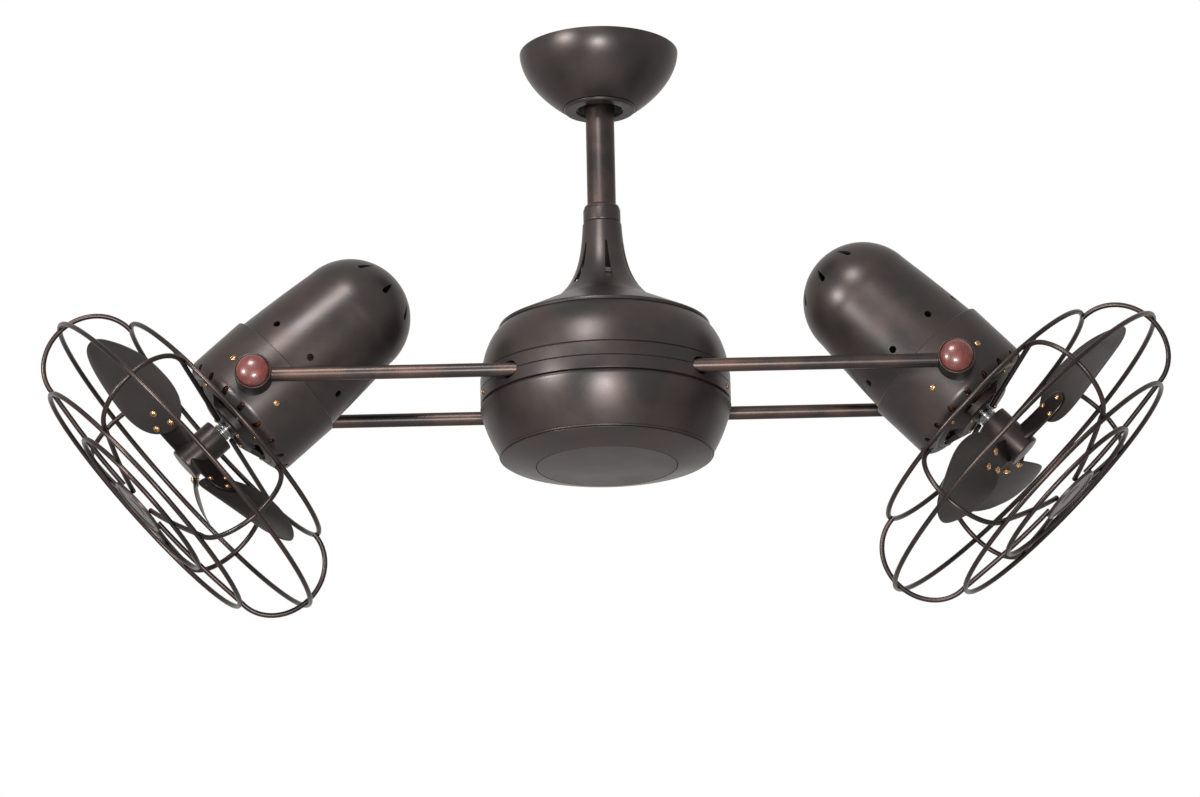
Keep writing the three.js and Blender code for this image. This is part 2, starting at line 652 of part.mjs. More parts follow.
/** Rounded pockets in the band where the rods come out. */
function rodPockets() {
  const options = { axis: 'x', sides: ROD_SIDES };
  const reach = BAND_RADIUS + CUT_PAST;
  return [-1, 1].map((side) => bar(ROD_RADIUS + POCKET_CLEARANCE, -reach, reach,
    { ...options, at: [0, side * ROD_SPACING, 0] }));
}

function upperHousing() {
  const seam = FIT / 2;
  const grooveTop = UPPER_GROOVE_HEIGHT + UPPER_GROOVE_HALF;
  const top = RIM_HEIGHT - RIM_LIP - RUN;
  const shoulder = bend([SHOULDER_RADIUS, top], [SHOULDER_BULGE_RADIUS, SHOULDER_BULGE_HEIGHT],
    [BAND_RADIUS - 0.6, grooveTop], 4);
  const grooveRoot = BAND_RADIUS - 0.6 - UPPER_GROOVE_DEPTH;
  const outer = [
    ...shoulder, [grooveRoot, UPPER_GROOVE_HEIGHT], [BAND_RADIUS, UPPER_GROOVE_HEIGHT - UPPER_GROOVE_HALF],
    [BAND_RADIUS, seam],
  ];
  const inner = bend([BAND_RADIUS - HOUSING_WALL, seam], [SHOULDER_BULGE_RADIUS - 2 * HOUSING_WALL,
    SHOULDER_BULGE_HEIGHT - HOUSING_WALL / 2], [SHOULDER_RADIUS - HOUSING_WALL, top], 3);
  return cut(turned([...outer, ...inner], BODY_SIDES), rodPockets());
}

function lowerHousing() {
  const seam = -FIT / 2;
  const ledge = LOWER_GROOVE_HEIGHT + LOWER_GROOVE_WIDTH / 2;
  const floor = LOWER_GROOVE_HEIGHT - LOWER_GROOVE_WIDTH / 2;
  const root = BAND_RADIUS - GROOVE_DEPTH;
  const bowl = bend([BAND_RADIUS + 0.4, floor - 0.6], [BOWL_BULGE_RADIUS, BOWL_BULGE_HEIGHT],
    [BEAD_RADIUS, BEAD_HEIGHT], 4);
  const edge = BEAD_RADIUS - HOUSING_WALL;
  const inner = bend([edge, BEAD_HEIGHT - 1.2], [BOWL_BULGE_RADIUS - 1.4 * HOUSING_WALL,
    BOWL_BULGE_HEIGHT], [root - HOUSING_WALL, floor], 3);
  const outer = [
    [BAND_RADIUS, seam], [BAND_RADIUS, ledge + 0.8], [root, ledge], [root, floor], ...bowl,
    [BEAD_RADIUS, BEAD_HEIGHT - 1.2],
  ];
  const band = [[BAND_RADIUS - HOUSING_WALL, ledge + 2], [BAND_RADIUS - HOUSING_WALL, seam]];
  return cut(turned([...outer, ...inner, ...band], BODY_SIDES), rodPockets());
}

/** Shallow dish under the bowl, open at the middle, with a flange up inside the bowl's edge. */
function bottomPlate() {
  const outer = BEAD_RADIUS - 0.6;
  const high = BEAD_HEIGHT - 1.2 - FIT;
  const hole = CENTER_CAP_RADIUS + FIT;
  const flange = BEAD_RADIUS - HOUSING_WALL - FIT - 0.3;
  return turned([
    [outer, high], [outer - 1.6, high - 1.6], [hole, BOTTOM_HEIGHT], [hole, BOTTOM_HEIGHT + 3],
    [hole - 3, BOTTOM_HEIGHT + 3], [hole - 3, BOTTOM_HEIGHT + 3 + PLATE_WALL],
    [hole + PLATE_WALL, BOTTOM_HEIGHT + 3 + PLATE_WALL], [flange - PLATE_WALL, high + 6], [flange, high + 6],
    [flange, high],
  ], BODY_SIDES);
}

/** Flat disc that fills the middle of the bottom plate. */
function centerCap() {
  const rim = CENTER_CAP_RADIUS;
  return turned([
    [0, BOTTOM_HEIGHT], [rim - 0.8, BOTTOM_HEIGHT], [rim, BOTTOM_HEIGHT + 0.8],
    [rim, BOTTOM_HEIGHT + 3 - FIT], [0, BOTTOM_HEIGHT + 3 - FIT],
  ], BODY_SIDES);
}

/** Insulating block with three fingers that touch the slip ring's tracks from one side. */
function brushBlock() {
  const base = UPPER_BEARING_BASE + BEARING_WIDTH + FIT;
  const near = SLIP_RING_RADIUS + FIT;
  const post = new THREE.BoxGeometry(6, 12, SLIP_RING_BASE + SLIP_RING_HEIGHT - base);
  post.translate(CARRIER_BOSS_RADIUS - 4, 0, (SLIP_RING_BASE + SLIP_RING_HEIGHT + base) / 2);
  const pitch = SLIP_RING_HEIGHT / SLIP_TRACKS;
  const fingers = Array.from({ length: SLIP_TRACKS }, (_, i) => bar(1.4, near, CARRIER_BOSS_RADIUS - 6,
    { axis: 'x', sides: 6, at: [0, 0, SLIP_RING_BASE + pitch * (i + 0.5)] }));
  return joined(solid(post), fingers);
}

// Arms

function armRod(side) {
  const end = PIVOT_REACH - ROD_INSERT;
  return bar(ROD_RADIUS, -end, end, { axis: 'x', sides: ROD_SIDES, at: [0, side * ROD_SPACING, 0] });
}

/** Round hub at a rod's end, bored for the rod and for the head's pivot pin. */
function pivotHub(x, side) {
  const inward = -Math.sign(x);
  const depth = HUB_FACE - HUB_BACK;
  const recess = depth - CAP_RECESS;
  const body = turned([
    [0, 0], [HUB_RADIUS, 0], [HUB_RADIUS, depth], [HUB_RADIUS - HUB_RIM, depth],
    [HUB_RADIUS - HUB_RIM, recess], [0, recess],
  ]);
  const pin = bar(PIVOT_PIN_RADIUS + FIT, -1, PIVOT_PIN_END - HUB_BACK + RUN, { sides: 12 });
  const rod = bar(ROD_RADIUS + FIT, ROD_INSERT - FIT, HUB_RADIUS + CUT_PAST,
    { axis: 'x', sides: ROD_SIDES, at: [0, 0, ROD_SPACING - HUB_BACK] });
  const bored = cut(body, pin, inward > 0 ? rod : rod.rotate([0, 0, 180]));
  const placed = bored.translate([0, 0, HUB_BACK]).rotate([side * -90, 0, 0]);
  return placed.translate([x, 0, 0]);
}

function woodCap(x, side) {
  const base = HUB_FACE - CAP_RECESS + FIT;
  const radius = HUB_RADIUS - HUB_RIM - FIT;
  const rise = CAP_DOME + CAP_RECESS - FIT - 1;
  const steps = 3;
  const dome = Array.from({ length: steps + 1 }, (_, i) => {
    const angle = (Math.PI / 2) * (i / steps);
    return [i === steps ? 0 : radius * Math.cos(angle), base + 1 + rise * Math.sin(angle)];
  });
  return turned([[0, base], [radius, base], ...dome]).rotate([side * -90, 0, 0]).translate([x, 0, 0]);
}

// Heads

/** The rounded front edge, with one broad facet in the middle that the slots are cut through. */
function headEdge(size) {
  const corner = [HEAD_RADIUS - HEAD_ROUND, HEAD_FRONT - HEAD_ROUND];
  return [0, 10, 80, 90].map((degrees) => around(...corner, size, degrees));
}

/** Cup round the motor with a rounded, slotted front edge and a trunnion on each side. */
function frontHousing() {
  const inner = headEdge(HEAD_ROUND - HEAD_WALL);
  const shell = turned([
    [HEAD_RADIUS, HEAD_BACK], ...headEdge(HEAD_ROUND), [HEAD_MOUTH, HEAD_FRONT],
    [HEAD_MOUTH, HEAD_FRONT - HEAD_WALL], inner[3], inner[0], [inner[0][0], HEAD_BACK],
  ], HEAD_SIDES);
  const inside = HEAD_RADIUS - HEAD_WALL + FIT;
  const trunnions = [-1, 1].map((side) => joined(
    bar(HUB_RADIUS, inside, HUB_BACK - FIT), bar(PIVOT_PIN_RADIUS, inside, PIVOT_PIN_END, { sides: 8 }))
    .rotate([side * -90, 0, 0]));
  const slots = ringOf(FRONT_SLOTS, 0, () =>
    new THREE.BoxGeometry(FRONT_SLOT_LENGTH, FRONT_SLOT_WIDTH, HEAD_ROUND).translate(0, 0, HEAD_ROUND)
      .rotateY(Math.PI / 4).translate(HEAD_RADIUS - HEAD_ROUND, 0, HEAD_FRONT - HEAD_ROUND));
  return cut(joined(shell, trunnions), slots);
}

/** Bullet-shaped tail: a tapering wall into a half dome, pierced by holes and drop-shaped slots. */
function rearShell() {
  const front = HEAD_RADIUS - HEAD_WALL - FIT;
  const centre = TAIL + DOME_RADIUS;
  const tail = -90;
  const slotFrom = tail + TAIL_SLOT_LEAN - TAIL_SLOT_FACET / 2;
  const slotTo = slotFrom + TAIL_SLOT_FACET;
  const rows = [0, slotTo / 2, slotTo, slotFrom, (slotFrom + tail) / 2];
  const shellOf = (size) => rows.map((degrees) => around(0, centre, size, degrees));
  const dome = [...shellOf(DOME_RADIUS), [0, TAIL]];
  const hollow = [[0, TAIL + TAIL_WALL], ...shellOf(DOME_RADIUS - TAIL_WALL).reverse().slice(1)];
  const edge = HEAD_BACK + SHELL_OVERLAP;
  const body = turned([
    [front, edge], [front, HEAD_BACK], ...dome, ...hollow, [front - TAIL_WALL, HEAD_BACK],
    [front - TAIL_WALL, edge],
  ], HEAD_SIDES);
  const holes = ringOf(VENT_HOLES, VENT_TURN, () =>
    new THREE.CylinderGeometry(VENT_HOLE_RADIUS, VENT_HOLE_RADIUS, VENT_HOLE_DEPTH, VENT_HOLE_SIDES)
      .rotateZ(Math.PI / 2).translate((DOME_RADIUS + front) / 2, 0, VENT_HOLE_PLACE));
  const slots = ringOf(TAIL_SLOTS, VENT_TURN, () =>
    prism(dropShape(TAIL_SLOT_LENGTH, TAIL_SLOT_WIDTH),
      DOME_RADIUS - TAIL_SLOT_DEPTH, DOME_RADIUS + CUT_PAST, 1)
      .rotateY(Math.PI - radians(TAIL_SLOT_LEAN)).translate(0, 0, centre));
  return cut(body, holes, slots);
}

/** Face of the end bell that the cage's spokes lie on. */
const bellFace = CAGE_BACK - WIRE_RADIUS - FIT;
const frontBearingBack = bellFace - BELL_WALL - FIT - MOTOR_BEARING_WIDTH;
const rearBearingBack = REAR_BELL_FACE - FIT - MOTOR_BEARING_WIDTH;

/** Vented cover over the front of the motor, with the seat of the front bearing. */
function endBell() {
  const edge = HEAD_MOUTH - FIT;
  const seat = MOTOR_BEARING_RADIUS + FIT;
  const boss = seat + BELL_WALL;
  const body = turned([
    [SHAFT_RADIUS + RUN, bellFace], [BELL_LAND, bellFace], [edge, HEAD_FRONT], [edge, HEAD_FRONT - BELL_WALL],
    [boss, bellFace - BELL_WALL - 1], [boss, frontBearingBack], [seat, frontBearingBack],
    [seat, bellFace - BELL_WALL], [SHAFT_RADIUS + RUN, bellFace - BELL_WALL],
  ], HEAD_SIDES);
  const sweep = radians(BELL_WINDOW_ANGLE);
  const window = () => {
    const shape = new THREE.Shape();
    shape.absarc(0, 0, BELL_WINDOW_OUTER, -sweep / 2, sweep / 2);
    shape.absarc(0, 0, BELL_WINDOW_INNER, sweep / 2, -sweep / 2, true);
    return prism(shape, HEAD_FRONT - BELL_WALL - 2, bellFace + 2, 1);
  };
  return cut(body, ringOf(BELL_WINDOWS, 0, window));
}

/** Dished plate behind the stator, with the seat of the rear bearing. */
function rearBell() {
  const edge = HEAD_RADIUS - HEAD_WALL - FIT;
  const seat = MOTOR_BEARING_RADIUS + FIT;
  const rimBack = HEAD_BACK + SHELL_OVERLAP + FIT;
  const rimFront = STATOR_BACK - FIT;
  return turned([
    [seat, rearBearingBack], [seat + BELL_WALL, rearBearingBack], [edge - TAIL_WALL - 6, rimBack],
    [edge, rimBack], [edge, rimFront], [SHAFT_RADIUS + RUN, REAR_BELL_FACE + BELL_WALL],
    [SHAFT_RADIUS + RUN, REAR_BELL_FACE], [seat, REAR_BELL_FACE],
  ], HEAD_SIDES);
}

/** Laminated ring pressed in the housing. */
function stator() {
  return collar(STATOR_BORE, HEAD_RADIUS - HEAD_WALL - FIT, STATOR_BACK, STATOR_FRONT, HEAD_SIDES);
}

/** The wound ends that stand out in front of the stator. */
function winding() {
  return turned([
    [COIL_INNER, STATOR_FRONT + FIT], [COIL_OUTER, STATOR_FRONT + FIT], [COIL_OUTER, COIL_FRONT - COIL_ROUND],
    [COIL_OUTER - COIL_ROUND, COIL_FRONT], [COIL_INNER, COIL_FRONT],
  ]);
}

function motorBearing(low) {
  return collar(SHAFT_RADIUS + FIT, MOTOR_BEARING_RADIUS, low, low + MOTOR_BEARING_WIDTH, 10);
}

function armatureShaft() {
  const front = FAN_HUB_FRONT - SHAFT_SET_BACK;
  const armature = bar(ARMATURE_RADIUS, STATOR_BACK, STATOR_FRONT - 2, { sides: CORE_SIDES });
  return joined(bar(SHAFT_RADIUS, SHAFT_BACK, front, { sides: 10 }), armature);
}

// Blades

function pitchAt(radius) {
  const share = (radius - BLADE_ROOT) / (BLADE_TIP - BLADE_ROOT);
  return radians(ROOT_PITCH + (TIP_PITCH - ROOT_PITCH) * share);
}

/** A point of the blade's middle surface, raised by lift along its normal; it is flat where it is bolted. */
function bladePoint(radius, along, lift) {
  const pitch = pitchAt(radius);
  const free = Math.max(0, Math.abs(along) - BRACKET_WIDTH / 2);
  const reach = (BLADE_CHORD - BRACKET_WIDTH) / 2;
  const rise = lift - BLADE_CAMBER * (free / reach) ** 2;
  return new THREE.Vector3(radius, along * Math.cos(pitch) - rise * Math.sin(pitch),
    BLADE_PLACE + along * Math.sin(pitch) + rise * Math.cos(pitch));
}

/** Half of the chord: a paddle with full, round ends. */
function halfChord(radius) {
  const middle = (BLADE_TIP + BLADE_ROOT) / 2;
  const half = (BLADE_TIP - BLADE_ROOT) / 2;
  return (BLADE_CHORD / 2) * (1 - (Math.abs(radius - middle) / half) ** 2.4) ** 0.5;
}

function bladeSections(low, high) {
  const stations = 6;
  return Array.from({ length: stations }, (_, i) => {
    const middle = (BLADE_TIP + BLADE_ROOT) / 2;
    const half = (BLADE_TIP - BLADE_ROOT) / 2;
    const radius = middle - half * Math.cos((Math.PI * (i + 0.3)) / (stations - 0.4));
    const edge = halfChord(radius);
    const flat = Math.min(BRACKET_WIDTH / 2, edge / 2);
    const across = [-edge, -flat, flat, edge];
    return [
      ...across.map((along) => bladePoint(radius, along, high)),
      ...across.reverse().map((along) => bladePoint(radius, along, low)),
    ];
  });
}

function blade() {
  return lofted(bladeSections(-BLADE_THICKNESS / 2, BLADE_THICKNESS / 2));
}

const bracketTop = -BLADE_THICKNESS / 2 - BRACKET_GAP;
const bracketFoot = bracketTop - BRACKET_THICKNESS;

/** Strap that follows the back of a blade from inside the hub. */
function bladeBracket() {
  const steps = 4;
  const inner = FAN_HUB_RADIUS - BRACKET_SINK;
  const sections = Array.from({ length: steps + 1 }, (_, i) => {
    const radius = inner + ((BRACKET_REACH - inner) * i) / steps;
    const width = i === steps ? BRACKET_WIDTH * BRACKET_TIP : BRACKET_WIDTH - BRACKET_TAPER * (1 - i / steps);
    const half = width / 2;
    return [
      bladePoint(radius, -half, bracketTop), bladePoint(radius, half, bracketTop),
      bladePoint(radius, half, bracketFoot), bladePoint(radius, -half, bracketFoot),
    ];
  });
  return lofted(sections);
}

function fanHub(turn) {
  const body = turned([
    [0, FAN_HUB_BACK], [FAN_HUB_RADIUS, FAN_HUB_BACK], [FAN_HUB_RADIUS, FAN_HUB_FRONT - 2],
    [FAN_HUB_RADIUS - 2, FAN_HUB_FRONT], [0, FAN_HUB_FRONT],
  ]);
  const brackets = bladeTurns(turn).map((angle) => bladeBracket().rotate([0, 0, angle]));
  const bore = bar(SHAFT_RADIUS + FIT, FAN_HUB_BACK - 1, FAN_HUB_FRONT - SHAFT_SET_BACK + FIT, { sides: 10 });
  return cut(joined(body, brackets), bore);
}

function bladeTurns(turn) {
  return Array.from({ length: BLADES }, (_, i) => turn + (360 * i) / BLADES);
}

// Cage

const wireStep = 2 * WIRE_RADIUS - WELD; // between the centres of two welded wires that cross

/**
 * A rib's centre line: a quarter ellipse from the rear ring out to the widest ring, another in to the front
 * ring, and a gently domed run to the nose. Steps are shared out by angle, so one lies on every ring.
 */
class RibPath extends THREE.Curve {
  getPoint(share, target = new THREE.Vector3()) {
    const [back, front] = [CAGE_BACK + wireStep, CAGE_FRONT - wireStep];
    const widest = CAGE_WIDE_RADIUS - wireStep;
    const turnShare = RIB_TURN_STEPS / (RIB_TURN_STEPS + RIB_RUN_STEPS);
    if (share <= turnShare) {
      const angle = Math.PI * (share / turnShare - 0.5);
      const [root, end] = angle < 0 ? [CAGE_BACK_RADIUS - WIRE_RADIUS, back] : [CAGE_FRONT_RADIUS, front];
      const radius = root + (widest - root) * Math.cos(angle);
      return target.set(radius, 0, CAGE_WIDE + Math.abs(end - CAGE_WIDE) * Math.sin(angle));
    }
    const along = (share - turnShare) / (1 - turnShare);
    const radius = CAGE_FRONT_RADIUS + (RIB_END_RADIUS - CAGE_FRONT_RADIUS) * along;
    const nose = CAGE_NOSE - WIRE_RADIUS;
    return target.set(radius, 0, front + (nose - front) * Math.sin((along * Math.PI) / 2));
  }

  getUtoTmapping(share) {
    return share;
  }
}

/** A ring with corners where the ribs cross it. */
function ring(radius, height, stepsPerRib) {
  const segments = stepsPerRib * CAGE_RIBS;
  return solid(new THREE.TorusGeometry(radius, WIRE_RADIUS, WIRE_SIDES, segments).translate(0, 0, height));
}

function spoke() {
  const from = new THREE.Vector3(SPOKE_INNER, 0, CAGE_BACK);
  const to = new THREE.Vector3(CAGE_BACK_RADIUS, 0, CAGE_BACK);
  return wire(new THREE.LineCurve3(from, to), 1);
}

/** Welded wire guard: four rings, six ribs and two spokes to the motor. */
function cage(handed) {
  const rib = wire(new RibPath(), RIB_TURN_STEPS + RIB_RUN_STEPS);
  const cross = joined(
    ring(CAGE_BACK_RADIUS, CAGE_BACK, RING_STEPS[0]), ring(CAGE_WIDE_RADIUS, CAGE_WIDE, RING_STEPS[1]),
    ring(CAGE_FRONT_RADIUS, CAGE_FRONT, RING_STEPS[2]), ring(CAGE_INNER_RADIUS, CAGE_INNER, RING_STEPS[3]),
    Array.from({ length: CAGE_RIBS }, (_, i) => rib.rotate([0, 0, (360 * i) / CAGE_RIBS])));
  const spokes = [0, 180].map((half) => spoke().rotate([0, 0, handed * SPOKE_TURN + half]));
  return joined(cross.rotate([0, 0, handed * RIB_TURN]), spokes);
}

/** Plain disc over the ends of the ribs. */
function medallion() {
  const back = CAGE_NOSE + FIT;
  const front = back + MEDALLION_THICKNESS;
  return turned([
    [0, back], [MEDALLION_RADIUS, back], [MEDALLION_RADIUS, back + 1.2], [MEDALLION_RADIUS - 1.4, front],
    [0, front],
  ]);
}

// Assembly

const fan = new THREE.Group();

piece(fan, 'hanger_bracket', hangerBracket(), zinc);
piece(fan, 'ball_liner', ballLiner(), nylon);
piece(fan, 'canopy', canopy(), bronze);
piece(fan, 'canopy_ring', canopyRing(), bronze);
piece(fan, 'hanger_ball', hangerBall(), zinc);
piece(fan, 'hanger_pin', hangerPin(), steel);
piece(fan, 'downrod', downrod(), bronze);

const body = new THREE.Group();
body.position.z = -DROP;
fan.add(body);
piece(body, 'rod_collar', rodCollar(), bronze);
piece(body, 'neck_cover', neckCover(), bronze);
piece(body, 'spindle', spindle(), steel);
piece(body, 'spindle_nut', spindleNut(), steel);
piece(body, 'slip_ring', slipRing(), brass);
piece(body, 'upper_bearing', bearing(UPPER_BEARING_BASE), steel);
piece(body, 'lower_bearing', bearing(LOWER_BEARING_BASE), steel);
piece(body, 'arm_carrier', armCarrier(), zinc);
piece(body, 'upper_housing', upperHousing(), bronze);
piece(body, 'lower_housing', lowerHousing(), bronze);
piece(body, 'bottom_plate', bottomPlate(), bronze);
piece(body, 'center_cap', centerCap(), bronze);
piece(body, 'brush_block', brushBlock(), nylon);
piece(body, 'front_arm_rod', armRod(-1), darkBronze);
piece(body, 'back_arm_rod', armRod(1), darkBronze);

for (const [word, sign] of [['left', -1], ['right', 1]]) {
  const x = sign * PIVOT_REACH;
  for (const [place, away] of [['front', -1], ['back', 1]]) {
    piece(body, `${word}_${place}_hub`, pivotHub(x, away), darkBronze);
    piece(body, `${word}_${place}_wood_cap`, woodCap(x, away), mahogany);
  }

  const side = new THREE.Group();
  side.rotation.z = sign > 0 ? Math.PI : 0;
  body.add(side);
  const head = new THREE.Group();
  head.position.x = -PIVOT_REACH;
  head.rotation.y = -radians(90 + (sign < 0 ? LEFT_TILT : RIGHT_TILT));
  side.add(head);
  const turn = sign < 0 ? -LEFT_BLADE_TURN : RIGHT_BLADE_TURN;
  piece(head, `${word}_front_housing`, frontHousing(), bronze);
  piece(head, `${word}_rear_shell`, rearShell(), bronze);
  piece(head, `${word}_end_bell`, endBell(), ironCore);
  piece(head, `${word}_rear_bell`, rearBell(), ironCore);
  piece(head, `${word}_stator`, stator(), ironCore);
  piece(head, `${word}_winding`, winding(), copper);
  piece(head, `${word}_front_bearing`, motorBearing(frontBearingBack), steel);
  piece(head, `${word}_rear_bearing`, motorBearing(rearBearingBack), steel);
  piece(head, `${word}_cage`, cage(sign), darkBronze);
  piece(head, `${word}_medallion`, medallion(), bronze);
  piece(head, `${word}_motor_shaft`, armatureShaft(), steel);
  piece(head, `${word}_fan_hub`, fanHub(turn), bronze);
  bladeTurns(turn).forEach((angle, i) =>
    piece(head, `${word}_blade_${i + 1}`, blade().rotate([0, 0, angle]), bronze));
}

export default fan;
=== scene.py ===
"""Twin head ceiling fan: smooth turned housings, caged fan heads, bent wire guards and brass screws.

Lengths are metres in Blender; the tables of properties give them in millimetres.
"""
import json
import math

import bmesh
import bpy
import numpy as np
from mathutils import Matrix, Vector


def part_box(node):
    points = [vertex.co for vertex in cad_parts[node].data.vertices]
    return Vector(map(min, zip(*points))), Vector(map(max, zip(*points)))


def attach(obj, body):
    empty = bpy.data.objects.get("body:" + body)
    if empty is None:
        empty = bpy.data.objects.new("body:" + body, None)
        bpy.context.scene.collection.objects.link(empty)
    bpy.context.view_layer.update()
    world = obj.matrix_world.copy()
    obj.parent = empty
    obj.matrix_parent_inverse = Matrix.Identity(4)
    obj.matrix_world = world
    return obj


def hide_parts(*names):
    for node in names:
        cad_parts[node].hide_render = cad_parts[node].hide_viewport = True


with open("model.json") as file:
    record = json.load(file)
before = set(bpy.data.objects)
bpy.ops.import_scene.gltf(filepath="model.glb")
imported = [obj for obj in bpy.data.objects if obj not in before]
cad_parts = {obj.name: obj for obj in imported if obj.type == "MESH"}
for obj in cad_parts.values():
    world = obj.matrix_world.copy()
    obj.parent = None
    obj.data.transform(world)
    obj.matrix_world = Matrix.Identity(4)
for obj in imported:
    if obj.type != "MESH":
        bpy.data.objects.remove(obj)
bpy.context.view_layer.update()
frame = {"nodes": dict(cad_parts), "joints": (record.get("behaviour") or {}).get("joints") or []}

bl_info = {
    "name": "Twin Head Ceiling Fan",
    "version": (1, 0, 0),
    "blender": (4, 5, 0),
    "location": "3D View > Sidebar > Ceiling Fan",
    "description": "Builds a ceiling fan with two caged, tilting fan heads",
    "category": "Add Mesh",
}

MM = 0.001
SEAT = 0.3 * MM  # gap between pieces set against each other
CUT_PAST = 5 * MM  # how far a cutter reaches past a wall
JOINTS = {joint["name"]: joint for joint in frame["joints"]}
ROTOR_Z = JOINTS["rotor_spin"]["pos_m"][2]
PIVOT_REACH = JOINTS["right_head_tilt"]["pos_m"][0]
SIDES = ("left", "right")


# Properties


def length(label, millimetres, about):
    """A length property whose default is given in millimetres."""
    return bpy.props.FloatProperty(name=label, description=about, default=millimetres * MM, unit="LENGTH")


def angle(label, degrees, about):
    """An angle property whose default is given in degrees."""
    return bpy.props.FloatProperty(
        name=label, description=about, default=math.radians(degrees), subtype="ANGLE", unit="ROTATION")


def colour(label, values, about):
    """A colour property in linear light."""
    return bpy.props.FloatVectorProperty(
        name=label, description=about, default=values, size=3, min=0, max=1, subtype="COLOR")


def count(label, number, about):
    """A whole number of repeated features."""
    return bpy.props.IntProperty(name=label, description=about, default=number, min=1)


class HangerSizes(bpy.types.PropertyGroup):
    """Canopy, downrod and neck."""

    canopy_radius: length("Canopy radius", 74.5, "Radius at the ceiling")
    canopy_depth: length("Canopy depth", 54.5, "Ceiling to the canopy's mouth")
    canopy_mouth: length("Canopy mouth", 35.5, "Outer radius at the mouth")
    canopy_wall: length("Canopy wall", 1.5, "Thickness of the spun shell")
    ring_radius: length("Ring radius", 34, "Flange of the ring nut under the canopy")
    ring_bore: length("Ring bore", 22, "Opening that the downrod swings in")
    pipe_radius: length("Pipe radius", 13.35, "Downrod")
    pipe_bore: length("Pipe bore", 10.4, "Inner radius of the downrod")
    collar_radius: length("Collar radius", 17.4, "Collar over the top of the neck")
    collar_height: length("Collar height", 17, "Height of the collar")
    neck_top: length("Neck top", 164, "Top of the neck above the rods")
    neck_root: length("Neck root", 16.9, "Radius that the flare starts from")
    flare_height: length("Flare foot", 88, "Height where the flare meets the cone")
    flare_radius: length("Flare radius", 46.3, "Radius where the flare meets the cone")
    flare_length: length("Flare length", 24, "How slowly the flare opens")
    neck_slots: count("Neck slots", 6, "Wedge-shaped slots round the neck")


class HousingSizes(bpy.types.PropertyGroup):
    """Central housing, heights above the plane of the rods."""

    rim_radius: length("Rim radius", 98.6, "Edge of the neck's cone")
    rim_height: length("Rim height", 62, "Top of that edge")
    rim_lip: length("Rim lip", 3.0, "Turned-down edge")
    shoulder_radius: length("Shoulder radius", 98.2, "Top edge of the upper housing")
    bulge_radius: length("Bulge radius", 112.5, "Point that draws the shoulder out")
    bulge_height: length("Bulge height", 44, "Height of that point")
    band_radius: length("Band radius", 115.8, "Widest band")
    wall: length("Wall", 2.2, "Thickness of the shells")
    upper_groove: length("Upper groove", 13.2, "Height of the fine groove")
    lower_groove: length("Lower groove", -14.4, "Height of the dark groove")
    bowl_radius: length("Bowl bulge radius", 111.5, "Point that draws the bowl out")
    bowl_height: length("Bowl bulge height", -38, "Height of that point")
    bead_radius: length("Bead radius", 97.9, "Lower edge of the bowl")
    bead_height: length("Bead height", -61, "Height of that edge")
    bottom_height: length("Bottom height", -71.9, "Flat of the bottom plate")
    cap_radius: length("Centre cap radius", 65, "Disc in the bottom plate")
    pocket: length("Rod pocket", 8.25, "Radius of the opening round a rod")


class ArmSizes(bpy.types.PropertyGroup):
    """Rods, hubs and wooden caps."""

    rod_radius: length("Rod radius", 6.35, "Arm rods")
    rod_spacing: length("Rod spacing", 75.2, "Axis of the fan to a rod")
    rod_insert: length("Rod insert", 8.5, "Rod's end to the pivot")
    hub_radius: length("Hub radius", 17, "Hub at a rod's end")
    hub_back: length("Hub back", 67.2, "Inner face of the hub, from the head's axis")
    hub_face: length("Hub face", 89, "Outer face of the hub")
    hub_rim: length("Hub rim", 1.4, "Thin rim round the wooden cap")
    cap_recess: length("Cap recess", 2.2, "Depth of the cap's seat")
    cap_dome: length("Cap dome", 8.5, "Height of the wooden dome")


class HeadSizes(bpy.types.PropertyGroup):
    """Motor head along its own shaft, from the pivot forward."""

    radius: length("Head radius", 65, "Front housing")
    wall: length("Wall", 2.8, "Thickness of the front housing")
    back: length("Seam", -33, "Where the rear shell begins")
    front: length("Front", 31, "Front face")
    rounding: length("Front rounding", 11, "Fillet of the front edge")
    mouth: length("Mouth", 51, "Opening for the end bell")
    slots: count("Front slots", 18, "Slots in the rounded edge")
    slot_length: length("Front slot length", 12, "Length of a slot")
    slot_width: length("Front slot width", 5.4, "Width of a slot")
    shell_radius: length("Shell radius", 61.9, "Rear shell at the seam")
    shell_overlap: length("Shell overlap", 6, "Part of the rear shell inside the housing")
    dome_radius: length("Dome radius", 55.5, "Half dome of the tail")
    tail: length("Tail", -170, "End of the dome")
    tail_wall: length("Tail wall", 2.2, "Thickness of the rear shell")
    holes: count("Vent holes", 8, "Round holes and drop slots in the rear shell")
    hole_radius: length("Vent hole radius", 3.4, "Round hole")
    hole_place: length("Vent hole place", -52, "Holes along the shaft")
    vent_turn: angle("Vent turn", 27.5, "First vent from the head's upper side")
    drop_length: length("Drop length", 18, "Drop-shaped slot")
    drop_width: length("Drop width", 5, "Drop-shaped slot")
    drop_lean: angle("Drop lean", 46, "Middle of a drop slot, off the head's axis")
    bell_face: length("Bell face", 40.35, "Flat that the cage is screwed to")
    bell_land: length("Bell land", 28, "Radius of that flat")
    bell_wall: length("Bell wall", 2.4, "Thickness of the end bell")
    shaft_radius: length("Shaft radius", 5, "Motor shaft")


